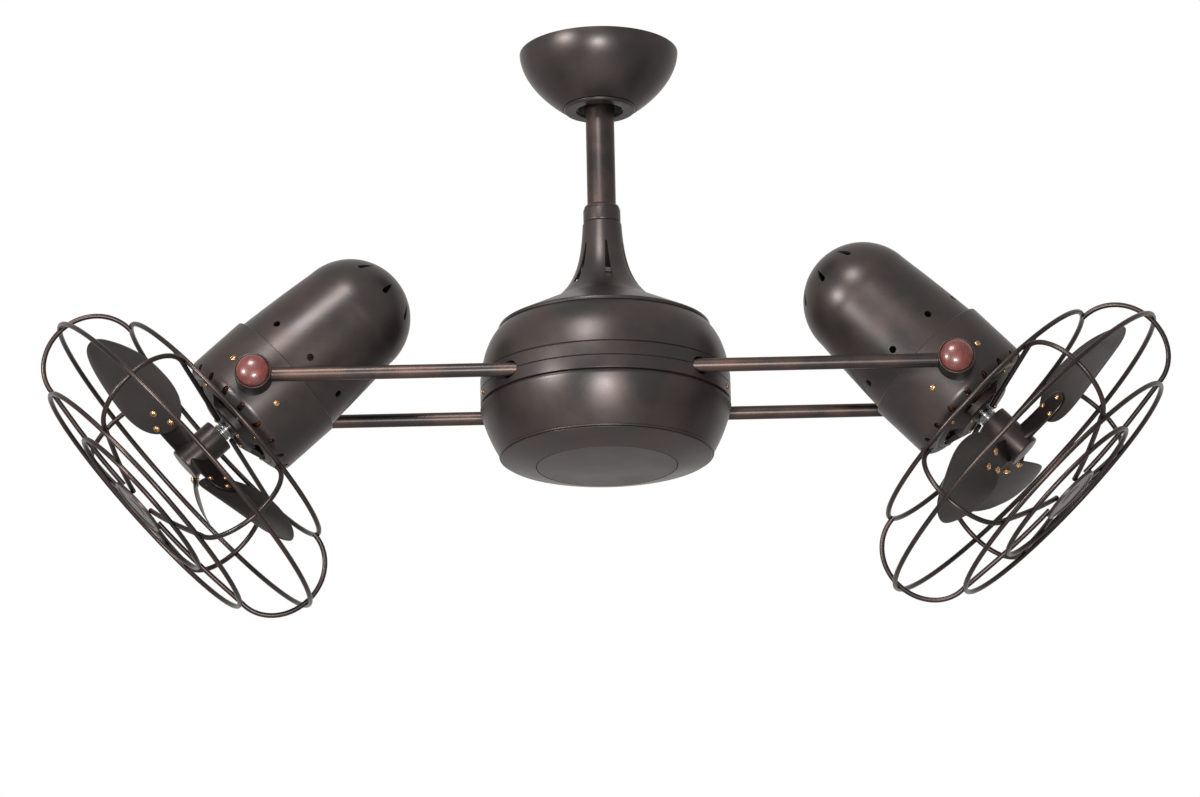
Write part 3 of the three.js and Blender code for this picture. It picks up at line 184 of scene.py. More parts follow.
class BladeSizes(bpy.types.PropertyGroup):
    """Fan hub and blades."""

    blades: count("Blades", 3, "Blades of each head")
    hub_radius: length("Hub radius", 16, "Turned hub")
    hub_back: length("Hub back", 50, "Hub's end towards the motor")
    hub_front: length("Hub front", 93, "Hub's outer end")
    root: length("Root", 34, "Inner end of a blade")
    tip: length("Tip", 147, "Outer end of a blade")
    chord: length("Chord", 78, "Greatest width")
    place: length("Place", 84, "Blade along the shaft")
    camber: length("Camber", 5, "Drop of the edges")
    thickness: length("Thickness", 1.6, "Sheet")
    root_pitch: angle("Root pitch", 42, "Pitch at the root")
    tip_pitch: angle("Tip pitch", 24, "Pitch at the tip")
    left_turn: angle("Left turn", -33, "First blade of the left head")
    right_turn: angle("Right turn", 20, "First blade of the right head")
    bracket_reach: length("Bracket reach", 64, "End of a blade's bracket")
    bracket_width: length("Bracket width", 30, "Width of a bracket")
    bracket_thickness: length("Bracket thickness", 2.2, "Cast strap")


class CageSizes(bpy.types.PropertyGroup):
    """Wire guard, places along the shaft."""

    wire: length("Wire radius", 2.35, "Round wire")
    back: length("Rear ring", 43, "Place of the rear ring")
    back_radius: length("Rear ring radius", 129, "Rear ring")
    wide: length("Wide ring", 93, "Place of the widest ring")
    wide_radius: length("Wide ring radius", 172, "Widest ring")
    front: length("Front ring", 142, "Place of the front ring")
    front_radius: length("Front ring radius", 130, "Front ring")
    inner: length("Inner ring", 146.5, "Place of the inner ring")
    inner_radius: length("Inner ring radius", 78.5, "Inner ring")
    nose: length("Nose", 149, "Back of the medallion")
    weld: length("Weld", 1.6, "How far crossing wires sink together")
    ribs: count("Ribs", 6, "Ribs round the cage")
    rib_turn: angle("Rib turn", 12, "First rib from the head's upper side")
    spoke_turn: angle("Spoke turn", 65, "First spoke from the head's upper side")
    medallion: length("Medallion radius", 29.5, "Plain disc on the nose")


class FinishColours(bpy.types.PropertyGroup):
    """Colours of the finishes."""

    bronze: colour("Bronze", (0.0200, 0.0170, 0.0165), "Oil-rubbed bronze coat")
    bronze_warm: colour("Warm bronze", (0.052, 0.032, 0.026), "Copper tint where the coat is thin")
    brass: colour("Brass", (0.34, 0.20, 0.095), "Screws")
    steel: colour("Steel", (0.20, 0.20, 0.20), "Turned steel")
    zinc: colour("Zinc", (0.22, 0.225, 0.225), "Plated pressings")
    mahogany: colour("Mahogany", (0.078, 0.0125, 0.0085), "Stained wood")
    mahogany_dark: colour("Mahogany grain", (0.022, 0.004, 0.003), "Dark grain")
    # copper of the windings, darkened as painted shade for the inside of the head
    copper: colour("Copper", (0.13, 0.05, 0.022), "Varnished windings")
    iron: colour("Iron", (0.06, 0.062, 0.065), "Varnished laminations")
    black: colour("Black", (0.012, 0.012, 0.013), "Moulded insulation")


GROUPS = {
    "hanger": HangerSizes, "housing": HousingSizes, "arm": ArmSizes, "head": HeadSizes,
    "blade": BladeSizes, "cage": CageSizes, "finish": FinishColours,
}


def sizes(name):
    """One of the scene's groups of properties."""
    return getattr(bpy.context.scene, f"ceiling_fan_{name}")


# Shader maths

COAT_ROUGHNESS = 0.12


class Value:
    """A shader socket that adds Math nodes when it is used in an expression."""

    def __init__(self, recipe, socket):
        self.recipe = recipe
        self.socket = socket

    def maths(self, operation, first, second):
        """One Math node on two numbers or sockets."""
        return self.recipe.add("ShaderNodeMath", {"operation": operation}, {0: first, 1: second})

    def __add__(self, other):
        return self.maths("ADD", self, other)

    def __radd__(self, other):
        return self.maths("ADD", other, self)

    def __sub__(self, other):
        return self.maths("SUBTRACT", self, other)

    def __rsub__(self, other):
        return self.maths("SUBTRACT", other, self)

    def __mul__(self, other):
        return self.maths("MULTIPLY", self, other)

    def __rmul__(self, other):
        return self.maths("MULTIPLY", other, self)


class NodeTree:
    """A tree of shader nodes, all added by one method."""

    def __init__(self, tree):
        self.tree = tree
        tree.nodes.clear()

    def add(self, kind, settings, inputs, outlet=0):
        """A node with its settings made first, then its sockets' values or links."""
        node = self.tree.nodes.new(kind)
        for key, value in settings.items():
            setattr(node, key, value)
        for key, value in inputs.items():
            self.feed(node.inputs[key], value)
        return Value(self, node.outputs[outlet]) if node.outputs else None

    def feed(self, socket, value):
        """Links a socket or sets its own value."""
        if isinstance(value, Value):
            self.tree.links.new(value.socket, socket)
        else:
            socket.default_value = value


class Recipe(NodeTree):
    """The node tree of one finish, with its Principled surface."""

    def __init__(self, name, coat=0.0, metal=0.0):
        self.material = bpy.data.materials.new(name)
        self.material.use_nodes = True
        super().__init__(self.material.node_tree)
        shader = self.add("ShaderNodeBsdfPrincipled", {}, {
            "Metallic": metal, "Coat Weight": coat, "Coat Roughness": COAT_ROUGHNESS})
        self.surface = shader.socket.node
        self.add("ShaderNodeOutputMaterial", {}, {"Surface": shader})

    def place(self, source="Object", scale=(1, 1, 1)):
        """Coordinates on the piece, stretched by scale."""
        where = self.add("ShaderNodeTexCoord", {}, {}, source)
        return self.add("ShaderNodeMapping", {}, {"Vector": where, "Scale": scale})

    def noise(self, where, scale, detail=3.0, roughness=0.55, distortion=0.0):
        """Cloudy noise from 0 to 1."""
        return self.add("ShaderNodeTexNoise", {}, {
            "Vector": where, "Scale": scale, "Detail": detail, "Roughness": roughness,
            "Distortion": distortion})

    def spread(self, value, low, high, to_low=0.0, to_high=1.0):
        """Maps a range of values onto another, held at its ends."""
        return self.add("ShaderNodeMapRange", {"clamp": True}, {
            "Value": value, "From Min": low, "From Max": high, "To Min": to_low, "To Max": to_high})

    def blend(self, factor, first, second):
        """A colour between two others."""
        return self.add("ShaderNodeMix", {"data_type": "RGBA"}, {0: factor, 6: first, 7: second}, 2)

    def bump(self, height, distance, strength=1.0, below=None):
        """A normal from a height, laid over an earlier one."""
        inputs = {"Height": height, "Distance": distance, "Strength": strength}
        if below is not None:
            inputs["Normal"] = below
        return self.add("ShaderNodeBump", {}, inputs)

    def finish(self, **sockets):
        """Feeds the surface, with underscores for spaces in the sockets' names."""
        for key, value in sockets.items():
            self.feed(self.surface.inputs[key.replace("_", " ")], value)
        return self.material


def rgba(values):
    """A colour with full alpha."""
    return (*values, 1.0)


# Finishes

COAT_SHEEN = (0.75, 0.72, 0.70, 1)  # tint of the bronze coat's highlights
FINE_BUMP = 0.00003  # metres, height of the finest grain


def bronze_coat(name, tint=1.0, warmth=0.35, rough=0.33, metal=0.65, grain=1.0, speckle=0.5):
    """Powder coat: fine pimples, faint clouds, and a copper tint that comes and goes."""
    shade = sizes("finish")
    recipe = Recipe(name, metal=metal)
    where = recipe.place()
    clouds = recipe.noise(where, 22.0, 4.0)
    flecks = recipe.noise(where, 900.0, 2.0)
    pimples = recipe.noise(where, 2600.0, 1.0, 0.5)
    thin = recipe.spread(clouds, 0.38, 0.72) * warmth + recipe.spread(flecks, 0.55, 0.8) * (warmth * speckle)
    dark = rgba([c * tint for c in shade.bronze])
    warm = rgba([c * tint for c in shade.bronze_warm])
    satin = recipe.spread(clouds, 0.3, 0.75, rough - 0.05, rough + 0.06)
    satin = satin + recipe.spread(flecks, 0.3, 0.7, 0, 0.05)
    normal = recipe.bump(pimples, FINE_BUMP, 0.5 * grain)
    normal = recipe.bump(flecks, FINE_BUMP, 0.3 * grain, normal)
    return recipe.finish(
        Specular_IOR_Level=0.5, Specular_Tint=COAT_SHEEN, Base_Color=recipe.blend(thin, dark, warm),
        Roughness=satin, Normal=normal)


def turned_metal(name, base, rough=0.28, streak=900.0, dirt=0.25, metal=1.0):
    """Metal with fine streaks and a little grime in clouds."""
    recipe = Recipe(name, metal=metal)
    where = recipe.place()
    lines = recipe.noise(recipe.place(scale=(1.0, 1.0, 0.05)), streak, 2.0)
    clouds = recipe.noise(where, 160.0, 4.0)
    grime = recipe.spread(clouds, 0.48, 0.75) * dirt
    clean = rgba(base)
    dull = rgba([c * 0.35 for c in base])
    return recipe.finish(
        Base_Color=recipe.blend(grime, clean, dull),
        Roughness=recipe.spread(lines, 0.25, 0.8, rough - 0.06, rough + 0.12) + grime * 0.4,
        Normal=recipe.bump(lines, 0.00004, 0.4))


def lacquered_wood(name):
    """Long dark grain in red-brown stain under a clear coat."""
    shade = sizes("finish")
    recipe = Recipe(name, coat=0.3)
    where = recipe.place(scale=(1.0, 1.0, 0.22))
    figure = recipe.noise(where, 420.0, 6.0, 0.62, 0.8)
    pores = recipe.noise(recipe.place(scale=(1.0, 1.0, 0.08)), 2400.0, 2.0)
    grain = recipe.spread(figure, 0.42, 0.62) * 0.8 + recipe.spread(pores, 0.55, 0.7) * 0.35
    return recipe.finish(
        Specular_IOR_Level=0.3,
        Base_Color=recipe.blend(grain, rgba(shade.mahogany), rgba(shade.mahogany_dark)),
        Roughness=recipe.spread(figure, 0.3, 0.7, 0.30, 0.46), Normal=recipe.bump(pores, FINE_BUMP, 0.3))


def wound_wire(name):
    """Turns of varnished copper wire that lie side by side along the coil, with the copper darkened as
    painted shade for the inside of the head, and darker bands as painted shade in the grooves between turns.
    """
    shade = sizes("finish")
    recipe = Recipe(name, coat=0.5, metal=0.85)
    turns = recipe.add("ShaderNodeTexWave", {"wave_type": "BANDS", "bands_direction": "X"}, {
        "Vector": recipe.place("UV", (1, 1, 1)), "Scale": 60.0, "Distortion": 1.5, "Detail": 2.0}, 1)
    # painted shade: the copper darkens in the grooves between the turns, where the bump is low
    dark = rgba([c * 0.25 for c in shade.copper])
    return recipe.finish(
        Base_Color=recipe.blend(recipe.spread(turns, 0.15, 0.7), dark, rgba(shade.copper)),
        Roughness=0.38, Normal=recipe.bump(turns, 0.0006, 0.8))


def laminations(name):
    """Thin stacked sheets under varnish, seen as fine bands."""
    recipe = Recipe(name, coat=0.2, metal=0.6)
    bands = recipe.noise(recipe.place(), 700.0, 2.0)
    base = sizes("finish").iron
    return recipe.finish(
        Base_Color=recipe.blend(bands, rgba(base), rgba([c * 0.4 for c in base])),
        Roughness=recipe.spread(bands, 0.2, 0.8, 0.42, 0.62), Normal=recipe.bump(bands, 0.0001, 0.4))


def moulded_black(name):
    """Moulded insulating plastic with a dull grain."""
    recipe = Recipe(name)
    skin = recipe.noise(recipe.place(), 1500.0, 2.0)
    base = sizes("finish").black
    return recipe.finish(
        Base_Color=recipe.blend(skin, rgba(base), rgba([c * 1.8 for c in base])),
        Roughness=recipe.spread(skin, 0.3, 0.7, 0.5, 0.65), Normal=recipe.bump(skin, 0.00005, 0.3))


def all_finishes():
    """Every finish by name, made once."""
    shade = sizes("finish")
    return {
        "bronze": bronze_coat("bronze_coat"),
        "dark_bronze": bronze_coat("dark_bronze_coat", tint=0.8, rough=0.37),
        "rod_bronze": bronze_coat(
            "rod_bronze_coat", tint=1.15, warmth=1.0, rough=0.34, metal=0.85, speckle=0.1),
        "wire_bronze": bronze_coat(
            "wire_bronze_coat", tint=0.9, warmth=0.7, rough=0.30, metal=0.85, grain=0.0, speckle=0.0),
        "blade_bronze": bronze_coat("blade_bronze_coat", tint=0.85, warmth=0.15, rough=0.46, metal=0.55),
        "cast_bronze": bronze_coat("cast_bronze_coat", tint=0.9, warmth=0.3, rough=0.30, metal=0.8),
        "brass": turned_metal("screw_brass", shade.brass, 0.24, 1500.0, 0.45),
        "steel": turned_metal("turned_steel", shade.steel, 0.22),
        "zinc": turned_metal("zinc_plate", shade.zinc, 0.36, 500.0, 0.3),
        "cast": turned_metal("plain_casting", shade.zinc, 0.5, 400.0, 0.6, 0.9),
        "mahogany": lacquered_wood("lacquered_mahogany"),
        "copper": wound_wire("wound_copper"),
        "iron": laminations("stacked_laminations"),
        "black": moulded_black("moulded_insulation"),
    }


FINISHES = {}


# Surfaces

SAME_POINT = 2e-6  # metres, under which two points are one


def build_mesh(name, sheets, sharp=32.0):
    """One mesh from grids of points, with edges sharper than some degrees kept.

    A sheet is (points, wrap_rows, wrap_columns): rows by columns by three. Each cell joins the point at
    (row, column) with its neighbours one row and one column on, and a wrapped direction runs back to its
    start. Points that coincide, at a pole or a seam, become one, and faces are turned outward.
    """
    points, quads, charts, start = [], [], [], 0
    for sheet, wrap_rows, wrap_columns in sheets:
        rows, columns = sheet.shape[:2]
        i = np.arange(rows if wrap_rows else rows - 1)
        j = np.arange(columns if wrap_columns else columns - 1)
        i, j = (grid.reshape(-1) for grid in np.meshgrid(i, j, indexing="ij"))
        down, across = (i + 1) % rows, (j + 1) % columns
        quads.append(start + np.stack([i * columns + j, i * columns + across,
                                       down * columns + across, down * columns + j], -1))
        chart = np.stack([np.stack([j, i], -1), np.stack([j + 1, i], -1),
                          np.stack([j + 1, i + 1], -1), np.stack([j, i + 1], -1)], 1)
        charts.append(chart / np.array([columns, rows], float))
        points.append(sheet.reshape(-1, 3))
        start += rows * columns
    mesh = bpy.data.meshes.new(name)
    mesh.from_pydata(np.concatenate(points).tolist(), [], np.concatenate(quads).tolist())
    chart_layer = mesh.uv_layers.new(name="chart")
    chart_layer.data.foreach_set("uv", np.concatenate(charts).reshape(-1))
    bm = bmesh.new()
    bm.from_mesh(mesh)
    bmesh.ops.remove_doubles(bm, verts=bm.verts, dist=SAME_POINT)
    bmesh.ops.recalc_face_normals(bm, faces=bm.faces)
    bm.to_mesh(mesh)
    bm.free()
    soften(mesh, sharp)
    return mesh


def soften(mesh, sharp):
    """Smooth shading with edges kept where faces meet at more than some degrees."""
    mesh.shade_smooth()
    mesh.set_sharp_from_angle(angle=math.radians(sharp))


def moved(points, place):
    """Points through a place, which is (three axes as columns, origin)."""
    axes, origin = place
    return points @ np.asarray(axes).T + np.asarray(origin)


def add_piece(name, sheets, body, finish, replaced=(), place=None, sharp=32.0):
    """A named piece that rides on a body, made of sheets in their own place."""
    if place is not None:
        sheets = [(moved(points, place), rows, columns) for points, rows, columns in sheets]
    piece = bpy.data.objects.new(name, build_mesh(name, sheets, sharp))
    bpy.context.scene.collection.objects.link(piece)
    piece.data.materials.append(FINISHES[finish])
    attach(piece, body)
    if replaced:
        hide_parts(*replaced)
    return piece


def carve(piece, cutters, place=None, sharp=32.0):
    """Takes closed sheets out of a piece."""
    if place is not None:
        cutters = [(moved(points, place), rows, columns) for points, rows, columns in cutters]
    tool = bpy.data.objects.new("cutter", build_mesh("cutter", cutters))
    bpy.context.scene.collection.objects.link(tool)
    step = piece.modifiers.new("openings", "BOOLEAN")
    step.operation = "DIFFERENCE"
    step.solver = "EXACT"
    step.object = tool
    bpy.context.view_layer.update()
    shaped = bpy.data.meshes.new_from_object(piece.evaluated_get(bpy.context.evaluated_depsgraph_get()))
    piece.modifiers.clear()
    old = piece.data
    piece.data = shaped
    shaped.name = piece.name
    bpy.data.meshes.remove(old)
    bpy.data.objects.remove(tool)
    soften(shaped, sharp)


def turned(profile, sides=96, closed=True):
    """A surface of revolution: each (radius, height) point is carried round +Z.

    x = radius cos(turn), y = radius sin(turn), z = height.
    """
    profile = np.asarray(profile, float)
    turn = np.linspace(0, 2 * np.pi, sides, endpoint=False)
    radius, height = profile[:, :1], profile[:, 1:]
    points = np.stack([radius * np.cos(turn), radius * np.sin(turn), height + 0 * turn], -1)
    return points, closed, True


def rounded(corners, steps=5):
    """A path through (radius, height, rounding) corners.

    A rounded corner is the quadratic curve that leaves one edge at the rounding's distance before the
    corner and meets the next edge at the same distance after it. The path's own ends stay sharp.
    """
    corners = [(*corner, 0.0)[:3] for corner in corners]
    spots = np.array([corner[:2] for corner in corners])
    path = [spots[0]]
    share = np.linspace(0, 1, steps + 1)[:, None]
    for before, spot, after, (_, _, size) in zip(spots, spots[1:], spots[2:], corners[1:-1]):
        if size <= 0:
            path.append(spot)
            continue
        first = spot + (before - spot) / np.linalg.norm(before - spot) * size
        last = spot + (after - spot) / np.linalg.norm(after - spot) * size
        path.extend((1 - share) ** 2 * first + 2 * share * (1 - share) * spot + share ** 2 * last)
    path.append(spots[-1])
    return np.array(path)


def bezier(*pulls, steps=24):
    """Points of the curve drawn by two ends and the points between that pull it."""
    share = np.linspace(0, 1, steps + 1)[:, None]
    rows = [np.array(pull, float) + 0 * share for pull in pulls]
    while len(rows) > 1:
        rows = [(1 - share) * a + share * b for a, b in zip(rows, rows[1:])]
    return rows[0]


def offset(path, wall):
    """A path moved sideways by a wall, along its normals."""
    step = np.gradient(path, axis=0)
    normal = np.stack([step[:, 1], -step[:, 0]], -1)
    return path + wall * normal / np.linalg.norm(normal, axis=1, keepdims=True)


def arc(radius, height, size, start, end, steps=12):
    """Points of a circle's part in the radius and height plane, by degrees from outward."""
    turn = np.radians(np.linspace(start, end, steps + 1))
    return np.stack([radius + size * np.cos(turn), height + size * np.sin(turn)], -1)


def tube(path, radius, sides=12, closed=False, reference=(0.0, 0.0, 1.0)):
    """A round section carried along a path, square to it.

    side = direction x reference and top = side x direction, so that
    point = path + radius (side cos + top sin). Open ends close on the path's own end points.
    """
    path = np.asarray(path, float)
    if closed:
        direction = np.roll(path, -1, 0) - np.roll(path, 1, 0)
    else:
        direction = np.gradient(path, axis=0)
    direction /= np.linalg.norm(direction, axis=1, keepdims=True)
    side = np.cross(direction, reference)
    side /= np.linalg.norm(side, axis=1, keepdims=True)
    top = np.cross(side, direction)
    turn = np.linspace(0, 2 * np.pi, sides, endpoint=False)[None, :, None]
    points = path[:, None] + radius * (side[:, None] * np.cos(turn) + top[:, None] * np.sin(turn))
    if not closed:
        caps = [np.repeat(path[end][None, None], sides, 1) for end in (0, -1)]
        points = np.concatenate([caps[0], points, caps[1]])
    return points, closed, True


def hoop(radius, height, wire, turns=144, sides=12):
    """A ring of round wire about +Z: a circle of wire section carried round a circle."""
    turn = np.linspace(0, 2 * np.pi, turns, endpoint=False)[:, None]
    around = np.linspace(0, 2 * np.pi, sides, endpoint=False)[None]
    reach = radius + wire * np.cos(around)
    lift = height + wire * np.sin(around) + 0 * turn
    points = np.stack([reach * np.cos(turn), reach * np.sin(turn), lift], -1)
    return points, True, True


def prism(outline, low, high):
    """A closed block: an outline in X and Y at two heights, with each end closed on its middle."""
    outline = np.asarray(outline, float)
    middle = outline.mean(0) + 0 * outline
    rows = [(middle, low), (outline, low), (outline, high), (middle, high)]
    points = np.stack([np.column_stack([flat, np.full(len(flat), height)]) for flat, height in rows])
    return points, False, True


def stadium(long, wide, steps=8):
    """A round-ended slot's outline, long side along X."""
    half = (long - wide) / 2
    ends = [arc(side * half, 0, wide / 2, start, start + 180, steps) for side, start in ((1, -90), (-1, 90))]
    return np.concatenate(ends)


def drop(long, wide, steps=10):
    """A drop's outline along X, round towards -X and drawn to a narrow tip towards +X.

    Half width = wide / 2 times (1 - 0.9 share^1.6) along the drawn part.
    """
    end = arc(wide / 2 - long / 2, 0, wide / 2, 90, 270, steps)
    share = np.linspace(0, 1, 8)[1:]
    lower = np.column_stack([end[-1, 0] + (long - wide / 2) * share, -wide / 2 * (1 - share ** 1.6 * 0.9)])
    upper = lower[::-1] * (1, -1)
    return np.concatenate([end, lower, upper])


def about(axis, turn):
    """The matrix that turns about X, Y or Z by an angle in radians."""
    c, s = math.cos(turn), math.sin(turn)
    tables = {
        "X": [[1, 0, 0], [0, c, -s], [0, s, c]],
        "Y": [[c, 0, s], [0, 1, 0], [-s, 0, c]],
        "Z": [[c, -s, 0], [s, c, 0], [0, 0, 1]],
    }
    return np.array(tables[axis])


def spun(sheet, number, start=0.0):
    """A sheet repeated evenly about +Z."""
    points, rows, columns = sheet
    return [(points @ about("Z", start + 2 * math.pi * i / number).T, rows, columns) for i in range(number)]


def laid(sheet, turn, shift=(0, 0, 0)):
    """A sheet turned by a matrix and then moved."""
    points, rows, columns = sheet
    return points @ turn.T + np.array(shift), rows, columns


def facing(normal, spot):
    """A place whose +Z is a given direction, at a spot."""
    normal = np.asarray(normal, float) / np.linalg.norm(normal)
    helper = np.array([0.0, 0.0, 1.0]) if abs(normal[2]) < 0.9 else np.array([1.0, 0.0, 0.0])
    side = np.cross(helper, normal)
    side /= np.linalg.norm(side)
    return np.column_stack([side, np.cross(normal, side), normal]), np.asarray(spot, float)


def rotor_place():
    """Axes of the fan, about the crossing of the rods' plane and the vertical."""
    return np.eye(3), np.array([0, 0, ROTOR_Z])


def head_place(side):
    """A head's axes as columns (upper side, pivot, forward), from its pivot."""
    forward = np.array(JOINTS[f"{side}_fan_spin"]["axis"], float)
    forward /= np.linalg.norm(forward)
    upper = np.sign(forward[0]) * np.array([-forward[2], 0, forward[0]])
    axes = np.column_stack([upper, np.cross(forward, upper), forward])
    return axes, np.array(JOINTS[f"{side}_head_tilt"]["pos_m"])


def screw_head(radius, high, washer=0.0):
    """A domed screw head with a cross recess, standing on +Z.

    Height = high (0.35 + 0.65 (1 - share^2.6)), share being the distance from the middle over the radius,
    less a recess that is 0.55 of high near the arms of the cross and ends between 0.56 and 0.66 of the
    radius.
    """
    share = np.linspace(0, 1, 15)[:, None]
    turn = np.linspace(0, 2 * np.pi, 48, endpoint=False)[None]
    x, y = share * np.cos(turn), share * np.sin(turn)
    arm = np.minimum(abs(x), abs(y))
    recess = np.clip((0.17 - arm) / 0.07, 0, 1) * np.clip((0.66 - share) / 0.1, 0, 1)
    lift = high * (0.35 + 0.65 * (1 - share ** 2.6)) - 0.55 * high * recess
    top = np.stack([x * radius, y * radius, lift + 0 * turn], -1)
    foot = np.stack([x[-1:] * radius, y[-1:] * radius, 0 * x[-1:] - 0.0004], -1)
    sheets = [(np.concatenate([top, foot]), False, True)]
    if washer:
        rim = rounded([(0, -0.0006), (washer, -0.0006), (washer, 0.0006, 0.0003), (0, 0.0006)])
        sheets.append(turned(rim, 32, False))
    return sheets


def screws(name, spots, body, radius, high, washer=0.0, finish="brass"):
    """Like screws as one piece; a spot is (normal, point) in the frame."""
    sheets = []
    for normal, spot in spots:
        place = facing(normal, spot)
        sheets += [(moved(points, place), rows, columns) for points, rows, columns in
                   screw_head(radius, high, washer)]
    return add_piece(name, sheets, body, finish)


# Hanger, neck and central housing

FIRST_WEDGE = math.radians(-80)  # turn of the first slot round the neck
HOUSING_SCREWS = (-13.5, 13.5, 166.5, 193.5)  # degrees round the band
SCREW_PROUD = 0.1 * MM  # foot of a wall screw, off the wall


def canopy_profile(size):
    """Spun bowl, down the outside and back up the inside."""
    upper_pull, lower_pull = (size.canopy_radius - 1 * MM, -20 * MM), (56 * MM, -40 * MM)
    outside = bezier(
        (size.canopy_radius, 0), upper_pull, lower_pull, (size.canopy_mouth, -size.canopy_depth), steps=40)
    inside = offset(outside, size.canopy_wall)
    inside[0] = (size.canopy_radius - size.canopy_wall, 0)
    hole = 31.6 * MM
    inside[-1] = (hole, -size.canopy_depth + size.canopy_wall)
    return np.concatenate([outside, [(hole, -size.canopy_depth)], inside[::-1]])


def ring_profile(size):
    """Ring nut: a rounded flange under the canopy and a wall up inside it."""
    top = -size.canopy_depth - SEAT
    low = top - 2.6 * MM
    inner, outer, rise = 29.3 * MM, 31.3 * MM, 9 * MM
    return rounded([
        (inner, top), (size.ring_bore, top, 0.6 * MM), (size.ring_bore, low, 0.8 * MM),
        (size.ring_radius - 1.5 * MM, low, 1.0 * MM), (size.ring_radius, top, 0.5 * MM), (outer, top),
        (outer, top + rise), (inner, top + rise)])


def neck_radius(size, height):
    """Radius of the flare: root + (foot - root) e^(-(height - foot height) / flare length)."""
    opening = np.exp(-(height - size.flare_height) / size.flare_length)
    return size.neck_root + (size.flare_radius - size.neck_root) * opening


def neck_profile(size, housing):
    """Trumpet that runs into a shallow cone with a turned-down edge."""
    height = np.linspace(size.neck_top - 1.2 * MM, size.flare_height, 40)
    flare = np.column_stack([neck_radius(size, height), height])
    lip = [(flare[0, 0] - 1.0 * MM, size.neck_top)]
    fillet = bezier(flare[-3], flare[-1], flare[-1] + (4 * MM, -2 * MM), steps=6)
    edge = rounded([
        fillet[-1], (housing.rim_radius, housing.rim_height, 1.4 * MM),
        (housing.rim_radius, housing.rim_height - housing.rim_lip)])
    outside = np.concatenate([lip, flare[:-3], fillet, edge[1:]])
    wall = 2 * MM
    inside = offset(outside[1:-3], wall)
    inside = inside[inside[:, 0] < housing.rim_radius - 3 * MM][::-1]
    foot = [(housing.rim_radius - wall, housing.rim_height - housing.rim_lip)]
    mouth = [(outside[1, 0] - wall, size.neck_top)]
    return np.concatenate([outside, foot, inside, mouth])


def neck_wedge():
    """A slot's cutter: narrow above and wide below, square to the neck's side."""
    low, high = 101 * MM, 142 * MM
    wide, narrow = 3.6 * MM, 0.8 * MM
    inner, outer = 8 * MM, 46 * MM
    outline = rounded([
        (low, 0), (low, -wide, 0.8 * MM), (high, -narrow), (high, narrow), (low, wide, 0.8 * MM),
        (low, 0.02 * MM)])
    return laid(prism(outline, inner, outer), about("Y", -math.pi / 2) @ np.diag([1, 1, -1]))


def upper_profile(size):
    """Shoulder of the upper housing, a fine groove, the band's upper half and back up inside."""
    top = size.rim_height - size.rim_lip - 0.4 * MM
    seam = 0.15 * MM
    groove = size.upper_groove
    shoulder = bezier((size.shoulder_radius, top), (size.bulge_radius, size.bulge_height),
                      (size.band_radius - 0.6 * MM, groove + 0.9 * MM), steps=30)
    band = rounded([
        shoulder[-1], (size.band_radius - 1.7 * MM, groove, 0.3 * MM),
        (size.band_radius, groove - 0.9 * MM, 0.4 * MM), (size.band_radius, seam + 0.5 * MM),
        (size.band_radius - 0.5 * MM, seam)])
    inner = bezier((size.band_radius - size.wall, seam),
                   (size.bulge_radius - 2 * size.wall, size.bulge_height - size.wall / 2),
                   (size.shoulder_radius - size.wall, top), steps=16)
    flange = [(size.shoulder_radius - size.wall - 1.4 * MM, top + 2.2 * MM),
              (size.shoulder_radius - size.wall - 0.4 * MM, top + 2.2 * MM),
              (size.shoulder_radius - size.wall, top + 0.2 * MM)]
    return np.concatenate([shoulder, band[1:], inner[:-1], flange])


def lower_profile(size):
    """Band's lower half, a dark groove under a ledge, the bowl with its bead, and back up inside."""
    seam = -0.15 * MM
    groove = size.lower_groove
    root = size.band_radius - 3.2 * MM
    band = rounded([
        (size.band_radius - 0.5 * MM, seam), (size.band_radius, seam - 0.5 * MM),
        (size.band_radius, groove + 2.0 * MM, 0.7 * MM), (root, groove + 1.3 * MM),
        (root, groove - 1.2 * MM), (size.band_radius + 0.2 * MM, groove - 1.6 * MM)])
    bowl = bezier((size.band_radius + 0.2 * MM, groove - 1.9 * MM), (size.bowl_radius, size.bowl_height),
                  (size.bead_radius, size.bead_height), steps=30)
    bead = rounded([
        bowl[-1], (size.bead_radius + 1.5 * MM, size.bead_height + 0.1 * MM, 0.6 * MM),
        (size.bead_radius + 1.1 * MM, size.bead_height - 1.2 * MM, 0.6 * MM),
        (size.bead_radius - size.wall, size.bead_height - 1.2 * MM)])
    inner = bezier(bead[-1], (size.bowl_radius - 1.4 * size.wall, size.bowl_height),
                   (root - size.wall, groove - 1.3 * MM), steps=16)
    wall = [(size.band_radius - size.wall, groove + 3.3 * MM), (size.band_radius - size.wall, seam)]
    return np.concatenate([band, bowl, bead[1:], inner[1:], wall])


def plate_profile(size):
    """Shallow dish between the bead and the flat middle, with its flange up inside the bowl."""
    high = size.bead_height - 1.5 * MM
    outer = size.bead_radius - 0.6 * MM
    hole = size.cap_radius + SEAT
    flange = size.bead_radius - size.wall - 0.6 * MM
    return rounded([
        (flange, high), (outer, high, 0.4 * MM), (outer - 0.6 * MM, high - 1.2 * MM, 1.0 * MM),
        (hole, size.bottom_height, 0.8 * MM), (hole, size.bottom_height + 3 * MM),
        (hole - 3 * MM, size.bottom_height + 3 * MM), (hole - 3 * MM, size.bottom_height + 4.8 * MM),
        (hole + 1.8 * MM, size.bottom_height + 4.8 * MM), (flange - 1.8 * MM, high + 6 * MM),
        (flange, high + 6 * MM)])


def cap_profile(size):
    """Flat disc with a rounded edge."""
    return rounded([
        (0, size.bottom_height), (size.cap_radius, size.bottom_height, 1.2 * MM),
        (size.cap_radius, size.bottom_height + 2.7 * MM, 0.3 * MM), (0, size.bottom_height + 2.7 * MM)])


